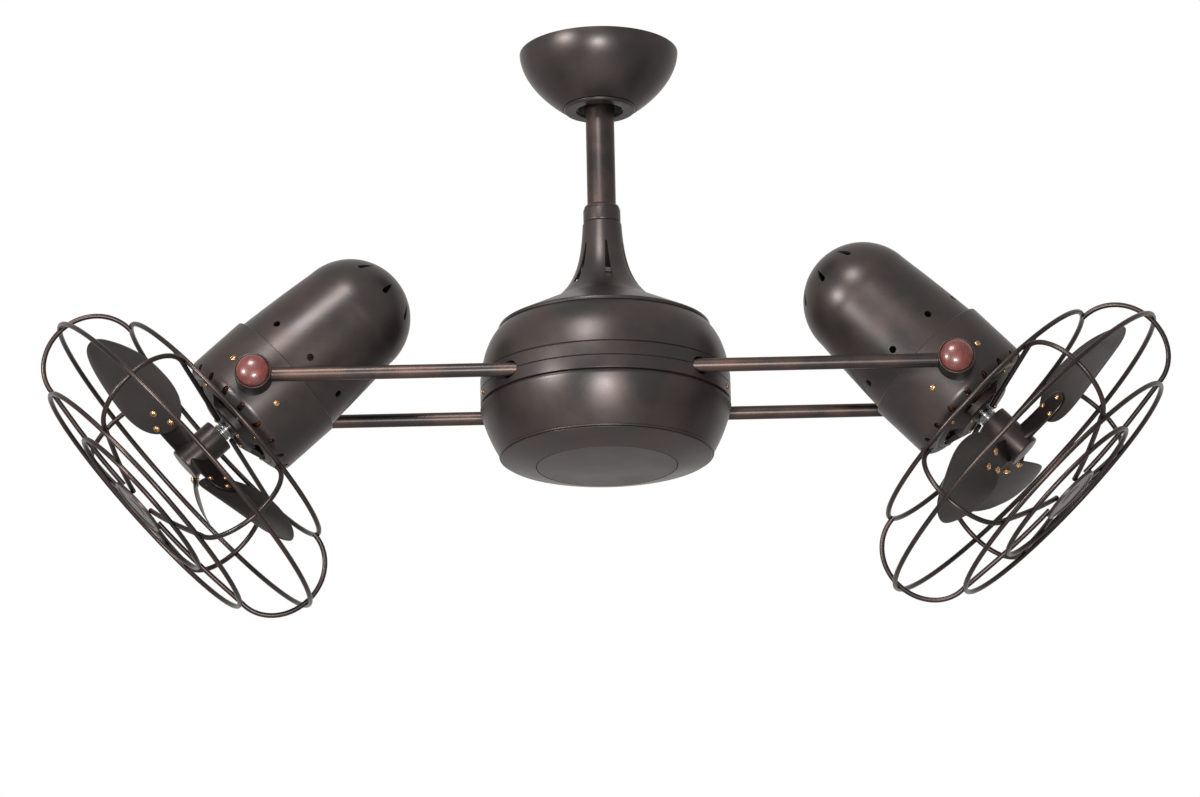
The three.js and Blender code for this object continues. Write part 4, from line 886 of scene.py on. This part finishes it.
def rod_pockets(arm, size):
    """Cutters for the openings that the rods come out of."""
    reach = size.band_radius + CUT_PAST
    ring = arc(0, 0, size.pocket, 0, 360, 36)[:-1]
    bar_sheet = laid(prism(ring, -reach, reach), about("Y", math.pi / 2))
    return [laid(bar_sheet, np.eye(3), (0, side * arm.rod_spacing, 0)) for side in (-1, 1)]


class BuildHanger(bpy.types.Operator):
    """Makes the canopy, its ring nut, the downrod, the collar and the slotted neck"""

    bl_idname = "ceiling_fan.hanger"
    bl_label = "Hanger and Neck"

    def execute(self, context):
        size, housing = sizes("hanger"), sizes("housing")
        add_piece("canopy_bowl", [turned(canopy_profile(size), 128)], "ceiling_mount", "bronze",
                  ["canopy"])
        add_piece("canopy_ring_nut", [turned(ring_profile(size), 96)], "ceiling_mount",
                  "bronze", ["canopy_ring"])
        low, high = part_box("downrod")
        pipe = rounded([
            (size.pipe_bore, low[2]), (size.pipe_radius, low[2], 0.4 * MM),
            (size.pipe_radius, high[2], 0.6 * MM), (size.pipe_bore, high[2])])
        add_piece("downrod_pipe", [turned(pipe, 64)], "hanging_stem", "rod_bronze", ["downrod"])
        self.collar(size)
        neck = add_piece("slotted_neck", [turned(neck_profile(size, housing), 144)], "hanging_stem",
                         "bronze", ["neck_cover"], rotor_place())
        carve(neck, spun(neck_wedge(), size.neck_slots, FIRST_WEDGE), rotor_place())
        return {"FINISHED"}

    @staticmethod
    def collar(size):
        """Collar with a spigot in the neck, a rounded top and a thin lip under it."""
        low = size.neck_top + SEAT
        high = low + size.collar_height
        bore = size.pipe_radius + SEAT
        spigot, sunk = size.neck_root - 1.5 * MM, 8 * MM
        edge = size.collar_radius
        profile = rounded([
            (bore, low - sunk), (spigot, low - sunk), (spigot, low), (edge - 0.4 * MM, low),
            (edge, low + 0.8 * MM, 0.4 * MM), (edge, high - 4.4 * MM, 0.5 * MM),
            (edge - 1.0 * MM, high - 3.9 * MM), (edge - 0.5 * MM, high - 3.2 * MM, 0.3 * MM),
            (edge - 1.6 * MM, high, 1.4 * MM), (bore, high)])
        add_piece("neck_collar", [turned(profile, 72)], "hanging_stem", "bronze",
                  ["rod_collar"], rotor_place())


class BuildHousing(bpy.types.Operator):
    """Makes the turned housing, its bottom plate and its screws"""

    bl_idname = "ceiling_fan.housing"
    bl_label = "Central Housing"

    def execute(self, context):
        size, arm = sizes("housing"), sizes("arm")
        pockets = rod_pockets(arm, size)
        for name, profile, node in (("housing_shoulder", upper_profile(size), "upper_housing"),
                                    ("housing_bowl", lower_profile(size), "lower_housing")):
            shell = add_piece(name, [turned(profile, 160)], "rotor", "bronze", [node],
                              rotor_place())
            carve(shell, pockets, rotor_place())
        add_piece("bottom_dish", [turned(plate_profile(size), 144)], "rotor", "bronze",
                  ["bottom_plate"], rotor_place())
        add_piece("bottom_disc", [turned(cap_profile(size), 128, False)], "rotor", "bronze",
                  ["center_cap"], rotor_place())
        spots = []
        height = ROTOR_Z - 6 * MM
        for turn in np.radians(HOUSING_SCREWS):
            normal = np.array([math.cos(turn), math.sin(turn), 0])
            spots.append((normal, normal * (size.band_radius + SCREW_PROUD) + (0, 0, height)))
        screws("housing_screws", spots, "rotor", 2.8 * MM, 1.5 * MM)
        return {"FINISHED"}


PIN_RADIUS = 5 * MM  # pivot pins of the heads
PIN_END = 83 * MM  # their ends, from the head's axis


class BuildArms(bpy.types.Operator):
    """Makes the rods, the hubs at their ends and the wooden caps"""

    bl_idname = "ceiling_fan.arms"
    bl_label = "Rods and Hubs"

    def execute(self, context):
        size = sizes("arm")
        reach = PIVOT_REACH - size.rod_insert
        rod = rounded([(0, -reach), (size.rod_radius, -reach, 0.6 * MM), (size.rod_radius, reach, 0.6 * MM),
                       (0, reach)])
        for word, away in (("front", -1), ("back", 1)):
            place = (about("Y", math.pi / 2), (0, away * size.rod_spacing, ROTOR_Z))
            add_piece(f"{word}_rod", [turned(rod, 40, False)], "rotor", "rod_bronze",
                      [f"{word}_arm_rod"], place)
            for side, sign in (("left", -1), ("right", 1)):
                self.hub(size, side, sign, word, away)
        return {"FINISHED"}

    @staticmethod
    def hub(size, side, sign, word, away):
        """Hub with a thin rim, and the domed wooden cap that it holds."""
        place = (about("X", -away * math.pi / 2), (sign * PIVOT_REACH, 0, ROTOR_Z))
        seat = size.hub_face - size.cap_recess
        inner = size.hub_radius - size.hub_rim
        cup = rounded([
            (0, size.hub_back), (size.hub_radius, size.hub_back, 0.6 * MM),
            (size.hub_radius, size.hub_face, 0.6 * MM), (inner, size.hub_face, 0.4 * MM), (inner, seat),
            (0, seat)])
        hub = add_piece(f"{side}_{word}_pivot_hub", [turned(cup, 72, False)], "rotor", "bronze",
                        [f"{side}_{word}_hub"], place)
        bore = arc(0, 0, PIN_RADIUS + SEAT, 0, 360, 24)[:-1]
        carve(hub, [prism(bore, size.hub_back - 2 * MM, PIN_END + 1 * MM)], place)
        edge = inner - SEAT
        base = seat + SEAT
        spring, rise = base + 1 * MM, size.cap_dome + 0.9 * MM
        turn = np.linspace(0, math.pi / 2, 16)[:, None]
        dome = np.column_stack([edge * np.cos(turn), spring + rise * np.sin(turn)])
        dome[-1, 0] = 0
        cap = np.concatenate([[(0, base), (edge, base)], dome])
        add_piece(f"{side}_{word}_mahogany_cap", [turned(cap, 64, False)], "rotor", "mahogany",
                  [f"{side}_{word}_wood_cap"], place)


# Heads

TAIL_SLOT_DEPTH = 8 * MM  # how far a drop slot's cutter reaches in
WALL_SCREW_STEP = 29.7 * MM  # wall screws, above and below the pivot
BELL_SCREW_TURNS = (45, 135, 225, 315)  # degrees round the head's axis


def front_profile(size):
    """Cup with a rounded front edge, down the outside and back up the inside."""
    centre = (size.radius - size.rounding, size.front - size.rounding)
    outside = arc(*centre, size.rounding, 0, 90, 16)
    inside = arc(*centre, size.rounding - size.wall, 0, 90, 12)
    return np.concatenate([
        [(size.radius - 0.6 * MM, size.back), (size.radius, size.back + 0.6 * MM)], outside,
        [(size.mouth, size.front), (size.mouth, size.front - size.wall)], inside[::-1],
        [(size.radius - size.wall, size.back)]])


def shell_profile(size):
    """Tapering wall into a half dome, out along the tail and back inside it."""
    centre = size.tail + size.dome_radius
    wall = bezier((size.shell_radius, size.back), (size.shell_radius - 2.4 * MM, (size.back + centre) / 2),
                  (size.dome_radius, centre), steps=24)
    dome = arc(0, centre, size.dome_radius, 0, -90, 28)
    outside = np.concatenate([[(size.shell_radius, size.back + size.shell_overlap)], wall, dome[1:]])
    outside[-1, 0] = 0
    inner = arc(0, centre, size.dome_radius - size.tail_wall, -90, 0, 24)
    inner[0, 0] = 0
    edge = size.shell_radius - size.tail_wall
    return np.concatenate([
        outside, inner, [(edge, size.back), (edge, size.back + size.shell_overlap)]])


def tail_cutters(size):
    """Round holes in the wall and drop-shaped slots in the dome."""
    circle = arc(0, 0, size.hole_radius, 0, 360, 24)[:-1]
    inner, outer = 50 * MM, 68 * MM
    hole = laid(prism(circle, inner, outer), about("Y", math.pi / 2), (0, 0, size.hole_place))
    tear = prism(drop(size.drop_length, size.drop_width), size.dome_radius - TAIL_SLOT_DEPTH,
                 size.dome_radius + CUT_PAST)
    slot = laid(tear, about("Y", math.pi - size.drop_lean), (0, 0, size.tail + size.dome_radius))
    return spun(hole, size.holes, size.vent_turn) + spun(slot, size.holes, size.vent_turn)


def bell_profile(size):
    """Dished cover over the motor, with the seat of the front bearing."""
    face, wall = size.bell_face, size.bell_wall
    edge, boss, bore = size.mouth - SEAT, 13.7 * MM, size.shaft_radius + 1 * MM
    back, seat = face - wall - 7.3 * MM, 11.3 * MM
    return rounded([
        (bore, face - wall), (bore, face, 0.3 * MM), (size.bell_land, face, 1.5 * MM),
        (edge, size.front, 0.8 * MM), (edge, size.front - wall), (boss, face - wall - 1 * MM),
        (boss, back), (seat, back), (seat, face - wall)])


def bell_windows(size):
    """Cutters for the four wide windows between the bell's arms."""
    outer = arc(0, 0, 45 * MM, -30, 30, 14)
    inner = arc(0, 0, 31 * MM, 30, -30, 12)
    window = prism(np.concatenate([outer, inner]), size.front - 8 * MM, size.bell_face + 3 * MM)
    return spun(window, 4)


class BuildHeads(bpy.types.Operator):
    """Makes each motor head: housings, end bell, coils and screws"""

    bl_idname = "ceiling_fan.heads"
    bl_label = "Motor Heads"

    def execute(self, context):
        size, arm = sizes("head"), sizes("arm")
        for side in SIDES:
            place, body = head_place(side), f"{side}_head"
            housing = add_piece(f"{side}_front_cup", self.front(size, arm), body, "bronze",
                                [f"{side}_front_housing"], place)
            slot = laid(prism(stadium(size.slot_length, size.slot_width), 2.5 * MM, 17 * MM),
                        about("Y", math.pi / 4),
                        (size.radius - size.rounding, 0, size.front - size.rounding))
            carve(housing, spun(slot, size.slots), place)
            shell = add_piece(f"{side}_tail_shell", [turned(shell_profile(size), 128)], body,
                              "bronze", [f"{side}_rear_shell"], place)
            carve(shell, tail_cutters(size), place)
            bell = add_piece(f"{side}_vented_bell", [turned(bell_profile(size), 96)], body,
                             "dark_bronze", [f"{side}_end_bell"], place)
            carve(bell, bell_windows(size), place)
            add_piece(f"{side}_coils", self.coils(), body, "copper", [f"{side}_winding"], place)
            self.screws(size, side, place, body)
        return {"FINISHED"}

    @staticmethod
    def front(size, arm):
        """The turned cup with a trunnion disc and a pin on each side."""
        inside, face = size.radius - size.wall + 0.3 * MM, arm.hub_back - SEAT
        trunnion = rounded([
            (0, inside), (arm.hub_radius, inside), (arm.hub_radius, face, 0.4 * MM),
            (PIN_RADIUS, face), (PIN_RADIUS, PIN_END, 0.5 * MM), (0, PIN_END)])
        discs = [laid(turned(trunnion, 48, False), about("X", -away * math.pi / 2)) for away in (-1, 1)]
        return [turned(front_profile(size), 144)] + discs

    @staticmethod
    def coils():
        """Overlapping wound bundles: a rounded ring whose crown swells and sinks round the motor.

        Height gains 1.3 mm times the cosine of twelve turns, growing from none to all between 14 and
        22 mm.
        """
        inner, outer, foot, crown, rounding = 37 * MM, 50 * MM, 12.3 * MM, 25 * MM, 5 * MM
        bundles, swell, sides = 12, 1.3 * MM, 144
        ring = rounded([
            (inner, foot), (outer, foot), (outer, crown, rounding), (inner, crown, rounding),
            (inner, foot)])[:-1]
        points, rows, columns = turned(ring, sides)
        turn = np.linspace(0, 2 * np.pi, sides, endpoint=False)
        growth = np.clip((points[..., 2] - 14 * MM) / (8 * MM), 0, 1)
        points[..., 2] += swell * np.cos(bundles * turn) * growth
        return [(points, rows, columns)]

    @staticmethod
    def screws(size, side, place, body):
        """Two screws beside each hub on the wall, and two rings of four on the bell."""
        axes, pivot = place
        wall = []
        for away in (-1, 1):
            for up in (-WALL_SCREW_STEP, WALL_SCREW_STEP):
                turn = math.asin(up / size.radius)
                normal = np.array([math.sin(turn), away * math.cos(turn), 0])
                wall.append((axes @ normal, pivot + axes @ (normal * (size.radius + SCREW_PROUD))))
        screws(f"{side}_wall_screws", wall, body, 2.7 * MM, 1.4 * MM)
        face = []
        cage_screws, rim_screws = (24 * MM, size.bell_face), (48.5 * MM, size.front + 0.9 * MM)
        for turn in np.radians(BELL_SCREW_TURNS):
            for reach, height in (cage_screws, rim_screws):
                spot = np.array([reach * math.cos(turn), reach * math.sin(turn), height])
                face.append((axes @ np.array([0, 0, 1.0]), pivot + axes @ spot))
        screws(f"{side}_bell_screws", face, body, 2.3 * MM, 1.5 * MM)


# Blades

STRAP_GAP = 0.7 * MM  # between a blade and its bracket
BLADE_SCREWS = ((42 * MM, -9 * MM), (42 * MM, 9 * MM), (57 * MM, 0.0))  # (radius, place along the chord)


def pitch_at(size, radius):
    """Pitch falls evenly from the root to the tip."""
    share = (radius - size.root) / (size.tip - size.root)
    return size.root_pitch + (size.tip_pitch - size.root_pitch) * share


def blade_surface(size, radius, along, lift):
    """Middle surface of a blade, raised by lift along its normal.

    The section is flat where it is bolted, and beyond that drops by camber times the square of the share
    of the free chord. Pitch turns the section about the radius.
    """
    pitch = pitch_at(size, radius)
    free = np.maximum(0, abs(along) - size.bracket_width / 2)
    rise = lift - size.camber * (free / ((size.chord - size.bracket_width) / 2)) ** 2
    return np.stack([
        radius + 0 * along, along * np.cos(pitch) - rise * np.sin(pitch),
        size.place + along * np.sin(pitch) + rise * np.cos(pitch)], -1)


def blade_sheet(size, stations=44, around=40):
    """A thin paddle with full, round ends and rounded edges.

    Half chord = chord / 2 times (1 - |share of the half length|^2.4)^0.5; each section runs once round
    its edge, with lift = half the thickness times |sin|^0.35.
    """
    middle, half = (size.tip + size.root) / 2, (size.tip - size.root) / 2
    radius = (middle - half * np.cos(np.linspace(0, np.pi, stations)))[:, None]
    edge = size.chord / 2 * (1 - np.clip(abs(radius - middle) / half, 0, 1) ** 2.4) ** 0.5
    turn = np.linspace(0, 2 * np.pi, around, endpoint=False)[None]
    lift = size.thickness / 2 * np.sign(np.sin(turn)) * abs(np.sin(turn)) ** 0.35
    lift = lift * np.clip(edge / (3 * MM), 0, 1)  # thinner where the ends close
    return blade_surface(size, radius, edge * np.cos(turn), lift), False, True


def bracket_sheet(size):
    """A cast strap that follows the blade's back, thick and narrow at the hub, with a rounded end."""
    inner = size.hub_radius - 5 * MM
    share = np.linspace(0, 1, 25)[:, None]
    radius = inner + (size.bracket_reach - inner) * share
    width = size.bracket_width - 8 * MM * (1 - share)
    width = width * np.sqrt(np.clip((1 - share ** 9), 0, 1)) + 0.2 * MM
    turn = np.linspace(0, 2 * np.pi, 28, endpoint=False)[None]
    body = np.sign(np.sin(turn)) * abs(np.sin(turn)) ** 0.4
    swell = 1 + 2.2 * (1 - share) ** 3
    lift = -size.thickness / 2 - STRAP_GAP - size.bracket_thickness / 2 * (1 - body) * swell
    points = blade_surface(size, radius + 0 * turn, width / 2 * np.cos(turn), lift)
    ends = [np.repeat(points[k].mean(0)[None, None], points.shape[1], 1) for k in (0, -1)]
    return np.concatenate([ends[0], points, ends[1]]), False, True


class BuildFans(bpy.types.Operator):
    """Makes each shaft, fan hub, brackets, blades and blade screws"""

    bl_idname = "ceiling_fan.fans"
    bl_label = "Fan Hubs and Blades"

    def execute(self, context):
        size, head = sizes("blade"), sizes("head")
        for side in SIDES:
            place, body = head_place(side), f"{side}_fan"
            start = size.left_turn if side == "left" else size.right_turn
            hub = turned(rounded([
                (0, size.hub_back), (size.hub_radius, size.hub_back, 0.8 * MM),
                (size.hub_radius, size.hub_front, 1.6 * MM), (0, size.hub_front)]), 72, False)
            straps = spun(bracket_sheet(size), size.blades, start)
            add_piece(f"{side}_hub_and_brackets", [hub] + straps, body, "cast_bronze",
                      [f"{side}_fan_hub"], place)
            add_piece(f"{side}_shaft_and_armature", self.shaft(size, head), body, "steel",
                      [f"{side}_motor_shaft"], place)
            for i, sheet in enumerate(spun(blade_sheet(size), size.blades, start), 1):
                add_piece(f"{side}_paddle_{i}", [sheet], body, "blade_bronze",
                          [f"{side}_blade_{i}"], place)
            self.screws(size, side, place, body, start)
        return {"FINISHED"}

    @staticmethod
    def shaft(size, head):
        """Shaft with its armature, and a grooved collar between the bell and the hub."""
        radius, tail, end = head.shaft_radius, -44 * MM, 85 * MM
        core, core_back, core_front = 32 * MM, -22 * MM, 10 * MM
        ridge, groove = 8.6 * MM, 7.4 * MM
        bar_profile = rounded([
            (0, tail), (radius, tail, 0.8 * MM), (radius, core_back), (core, core_back, 0.8 * MM),
            (core, core_front, 0.8 * MM), (radius, core_front), (radius, 41.2 * MM),
            (ridge, 41.4 * MM, 0.4 * MM), (ridge, 44 * MM, 0.3 * MM), (groove, 44.3 * MM),
            (groove, 45.3 * MM), (ridge, 45.6 * MM, 0.3 * MM), (ridge, 47.6 * MM, 0.3 * MM),
            (groove, 47.9 * MM), (groove, size.hub_back), (radius, size.hub_back), (radius, end), (0, end)])
        return [turned(bar_profile, 56, False)]

    @staticmethod
    def screws(size, side, place, body, start):
        """Three button screws with washers through each blade, and their ends behind the bracket."""
        axes, pivot = place
        spots, ends = [], []
        for i in range(size.blades):
            spin = about("Z", start + 2 * math.pi * i / size.blades)
            for radius, along in BLADE_SCREWS:
                low, high = (blade_surface(size, np.array(radius), np.array(along), np.array(lift))
                             for lift in (0.0, size.thickness / 2))
                normal = (high - low) / np.linalg.norm(high - low)
                spots.append((axes @ spin @ normal, pivot + axes @ spin @ (high + normal * 0.5 * MM)))
                back = size.thickness / 2 + STRAP_GAP + size.bracket_thickness
                ends.append((-axes @ spin @ normal, pivot + axes @ spin @ (low - normal * back)))
        screws(f"{side}_blade_screws", spots, body, 2.6 * MM, 1.9 * MM, 3.5 * MM)
        screws(f"{side}_blade_screw_ends", ends, body, 2.2 * MM, 1.5 * MM, 3.2 * MM)


# Cage

RIB_END = 23.5 * MM  # a rib's end, behind the nose disc
SPOKE_START = 17 * MM  # a spoke's end on the bell


def rib_path(size, sweep_steps=44, run_steps=22):
    """A rib's centre line in its own radial plane.

    A quarter ellipse runs from the rear ring out to the widest ring and another in to the front ring:
    radius = root + (widest - root) cos(turn), place = wide + |end - wide| sin(turn). Then a gently domed
    run goes to the nose: place = front + (nose - front) sin(share of a quarter turn).
    """
    step = 2 * size.wire - size.weld
    back, front = size.back + step, size.front - step
    widest = size.wide_radius - step
    turn = np.linspace(-math.pi / 2, math.pi / 2, sweep_steps + 1)
    root = np.where(turn < 0, size.back_radius - size.wire, size.front_radius)
    end = np.where(turn < 0, back, front)
    radius = root + (widest - root) * np.cos(turn)
    place = size.wide + abs(end - size.wide) * np.sin(turn)
    share = np.linspace(0, 1, run_steps + 1)[1:]
    run_radius = size.front_radius + (RIB_END - size.front_radius) * share
    run_place = front + (size.nose - size.wire - front) * np.sin(share * math.pi / 2)
    radius, place = np.concatenate([radius, run_radius]), np.concatenate([place, run_place])
    return np.column_stack([radius, 0 * radius, place])


def medallion_profile(size):
    """Plain disc with a raised rim, a shallow dish and a low boss in the middle."""
    base, rim = size.nose + SEAT, size.medallion
    top = base + 3 * MM
    return rounded([
        (0, base), (rim, base, 0.4 * MM), (rim, top, 0.9 * MM), (rim - 3.2 * MM, top, 0.6 * MM),
        (rim - 4 * MM, base + 2.0 * MM, 0.6 * MM), (12 * MM, base + 2.2 * MM, 1.2 * MM),
        (10.5 * MM, base + 2.9 * MM, 0.8 * MM), (0, top)])


class BuildCages(bpy.types.Operator):
    """Bends the wire guards and sets the disc on each nose"""

    bl_idname = "ceiling_fan.cages"
    bl_label = "Wire Cages"

    def execute(self, context):
        size = sizes("cage")
        for side, hand in (("left", -1), ("right", 1)):
            place, body = head_place(side), f"{side}_head"
            rings = [hoop(radius, along, size.wire) for radius, along in (
                (size.back_radius, size.back), (size.wide_radius, size.wide),
                (size.front_radius, size.front), (size.inner_radius, size.inner))]
            ribs = spun(tube(rib_path(size), size.wire, 12, reference=(0.0, 1.0, 0.0)), size.ribs,
                        hand * size.rib_turn)
            line = np.linspace((SPOKE_START, 0, size.back), (size.back_radius, 0, size.back), 30)
            spokes = spun(tube(line, size.wire, 12), 2, hand * size.spoke_turn)
            add_piece(f"{side}_wire_guard", rings + ribs + spokes, body, "wire_bronze",
                      [f"{side}_cage"], place, 60.0)
            add_piece(f"{side}_nose_disc", [turned(medallion_profile(size), 72, False)], body,
                      "bronze", [f"{side}_medallion"], place)
        return {"FINISHED"}


# Works that show only through the openings

WORKS = {
    "hanger_bracket": "zinc", "ball_liner": "black", "hanger_ball": "cast_bronze", "hanger_pin": "steel",
    # the spindle and spindle nut take the black moulded finish as painted shade inside the neck's slots
    "spindle": "black", "spindle_nut": "black", "slip_ring": "brass", "upper_bearing": "steel",
    "lower_bearing": "steel", "arm_carrier": "cast", "brush_block": "black",
}
HEAD_WORKS = {"rear_bell": "cast", "stator": "iron", "front_bearing": "steel", "rear_bearing": "steel"}


class FinishWorks(bpy.types.Operator):
    """Gives the bracket, bearings and motor parts their finishes"""

    bl_idname = "ceiling_fan.works"
    bl_label = "Inner Works"

    def execute(self, context):
        table = dict(WORKS)
        table.update({f"{side}_{node}": finish for side in SIDES for node, finish in HEAD_WORKS.items()})
        for node, finish in table.items():
            mesh = frame["nodes"][node].data
            mesh.materials.clear()
            mesh.materials.append(FINISHES[finish])
        return {"FINISHED"}


# Stage

LENS_PIXELS = 5500.0
PHOTO_WIDTH = 1200.0
CAMERA_SPOT = (0.0151, -4.8567, -1.5181)  # from the middle of the rods
CAMERA_YAW = -0.24
CAMERA_PITCH = 17.29
CAMERA_ROLL = -1.17
SENSOR_WIDTH = 36.0
FLOOR_DROP = 2.6
FLOOR_REACH = 6
FLOOR_GREY = 0.8
SOFT_LIGHT = 0.775
WHITE = (1, 1, 1, 1)
LAMPS = {  # place, sides of the lamp and watts
    "key_lamp": ((-2.2, -2.0, -0.25), (0.6, 0.6), 120),
    "top_lamp": ((-0.7, -2.2, 1.5), (0.8, 0.8), 90),
    "front_lamp": ((0.0, -2.9, -1.25), (0.6, 0.4), 120),
}


def camera_axes():
    """Right, up and back of the camera from its yaw, pitch and roll."""
    yaw, pitch, roll = (math.radians(value) for value in (CAMERA_YAW, CAMERA_PITCH, CAMERA_ROLL))
    ahead = np.array([math.sin(yaw) * math.cos(pitch), math.cos(yaw) * math.cos(pitch), math.sin(pitch)])
    right = np.array([math.cos(yaw), -math.sin(yaw), 0])
    up = np.cross(right, ahead)
    return np.column_stack([
        math.cos(roll) * right + math.sin(roll) * up, -math.sin(roll) * right + math.cos(roll) * up, -ahead])


def pale_floor():
    """Matt pale floor."""
    material = bpy.data.materials.new("pale_floor")
    material.use_nodes = True
    nodes = NodeTree(material.node_tree)
    matt = nodes.add("ShaderNodeBsdfDiffuse", {}, {"Color": (FLOOR_GREY, FLOOR_GREY, FLOOR_GREY, 1)})
    nodes.add("ShaderNodeOutputMaterial", {}, {"Surface": matt})
    return material


def world_light(context):
    """Even soft light, seen as white by the camera, in reflections and through glass."""
    world = bpy.data.worlds.new("studio")
    context.scene.world = world
    world.use_nodes = True
    nodes = NodeTree(world.node_tree)
    seen = 0.0
    for ray in ("Is Camera Ray", "Is Glossy Ray", "Is Transmission Ray"):
        path = nodes.add("ShaderNodeLightPath", {}, {}, ray)
        seen = nodes.add("ShaderNodeMath", {"operation": "MAXIMUM"}, {0: path, 1: seen})
    soft = nodes.add("ShaderNodeBackground", {}, {"Color": WHITE, "Strength": SOFT_LIGHT})
    white = nodes.add("ShaderNodeBackground", {}, {"Color": WHITE, "Strength": 1.0})
    mix = nodes.add("ShaderNodeMixShader", {}, {0: seen, 1: soft, 2: white})
    nodes.add("ShaderNodeOutputWorld", {}, {"Surface": mix})


def soft_box(name, spot, target, size, power):
    """A rectangular area lamp that faces a target."""
    lamp = bpy.data.lights.new(name, "AREA")
    lamp.shape = "RECTANGLE"
    lamp.size, lamp.size_y = size
    lamp.energy = power
    place = bpy.data.objects.new(name, lamp)
    bpy.context.scene.collection.objects.link(place)
    axes, origin = facing(np.asarray(spot) - np.asarray(target), spot)
    place.matrix_world = Matrix.Translation(origin.tolist()) @ Matrix(axes.tolist()).to_4x4()


class BuildStage(bpy.types.Operator):
    """Sets the floor, lamps and camera"""

    bl_idname = "ceiling_fan.stage"
    bl_label = "Studio Stage"

    def execute(self, context):
        reach = np.linspace(-FLOOR_REACH, FLOOR_REACH, 2)
        x, y = np.meshgrid(reach, reach, indexing="ij")
        sheet = (np.stack([x, y, 0 * x - FLOOR_DROP], -1), False, False)
        floor = bpy.data.objects.new("floor", build_mesh("floor", [sheet]))
        context.scene.collection.objects.link(floor)
        floor.data.materials.append(pale_floor())
        world_light(context)
        for name, (spot, sides, power) in LAMPS.items():
            soft_box(name, spot, (0, 0, ROTOR_Z), sides, power)
        data = bpy.data.cameras.new("photo_camera")
        data.sensor_width = SENSOR_WIDTH
        data.lens = LENS_PIXELS * data.sensor_width / PHOTO_WIDTH
        data.clip_end = 60.0
        camera = bpy.data.objects.new("photo_camera", data)
        context.scene.collection.objects.link(camera)
        spot = np.array(CAMERA_SPOT) + (0, 0, ROTOR_Z)
        camera.matrix_world = Matrix.Translation(spot.tolist()) @ Matrix(camera_axes().tolist()).to_4x4()
        context.scene.camera = camera
        context.scene.view_settings.view_transform = "Standard"
        return {"FINISHED"}


class FanPanel(bpy.types.Panel):
    """Lists the fan's operators in the order they run"""

    bl_idname = "VIEW3D_PT_ceiling_fan"
    bl_label = "Ceiling Fan"
    bl_space_type = "VIEW_3D"
    bl_region_type = "UI"
    bl_category = "Ceiling Fan"

    def draw(self, context):
        for operator in OPERATORS:
            self.layout.operator(operator.bl_idname)


OPERATORS = (BuildHanger, BuildHousing, BuildArms, BuildHeads, BuildFans, BuildCages, FinishWorks, BuildStage)
CLASSES = (*GROUPS.values(), *OPERATORS, FanPanel)


def register():
    """Registers the classes and puts the sizes on the scene."""
    for item in CLASSES:
        bpy.utils.register_class(item)
    for name, group in GROUPS.items():
        setattr(bpy.types.Scene, f"ceiling_fan_{name}", bpy.props.PointerProperty(type=group))


def unregister():
    """Takes them off again."""
    for name in GROUPS:
        delattr(bpy.types.Scene, f"ceiling_fan_{name}")
    for item in reversed(CLASSES):
        bpy.utils.unregister_class(item)


def main():
    """Builds every piece in order."""
    register()
    FINISHES.update(all_finishes())
    for operator in OPERATORS:
        group, name = operator.bl_idname.split(".")
        getattr(getattr(bpy.ops, group), name)()


if __name__ == "__main__":
    main()
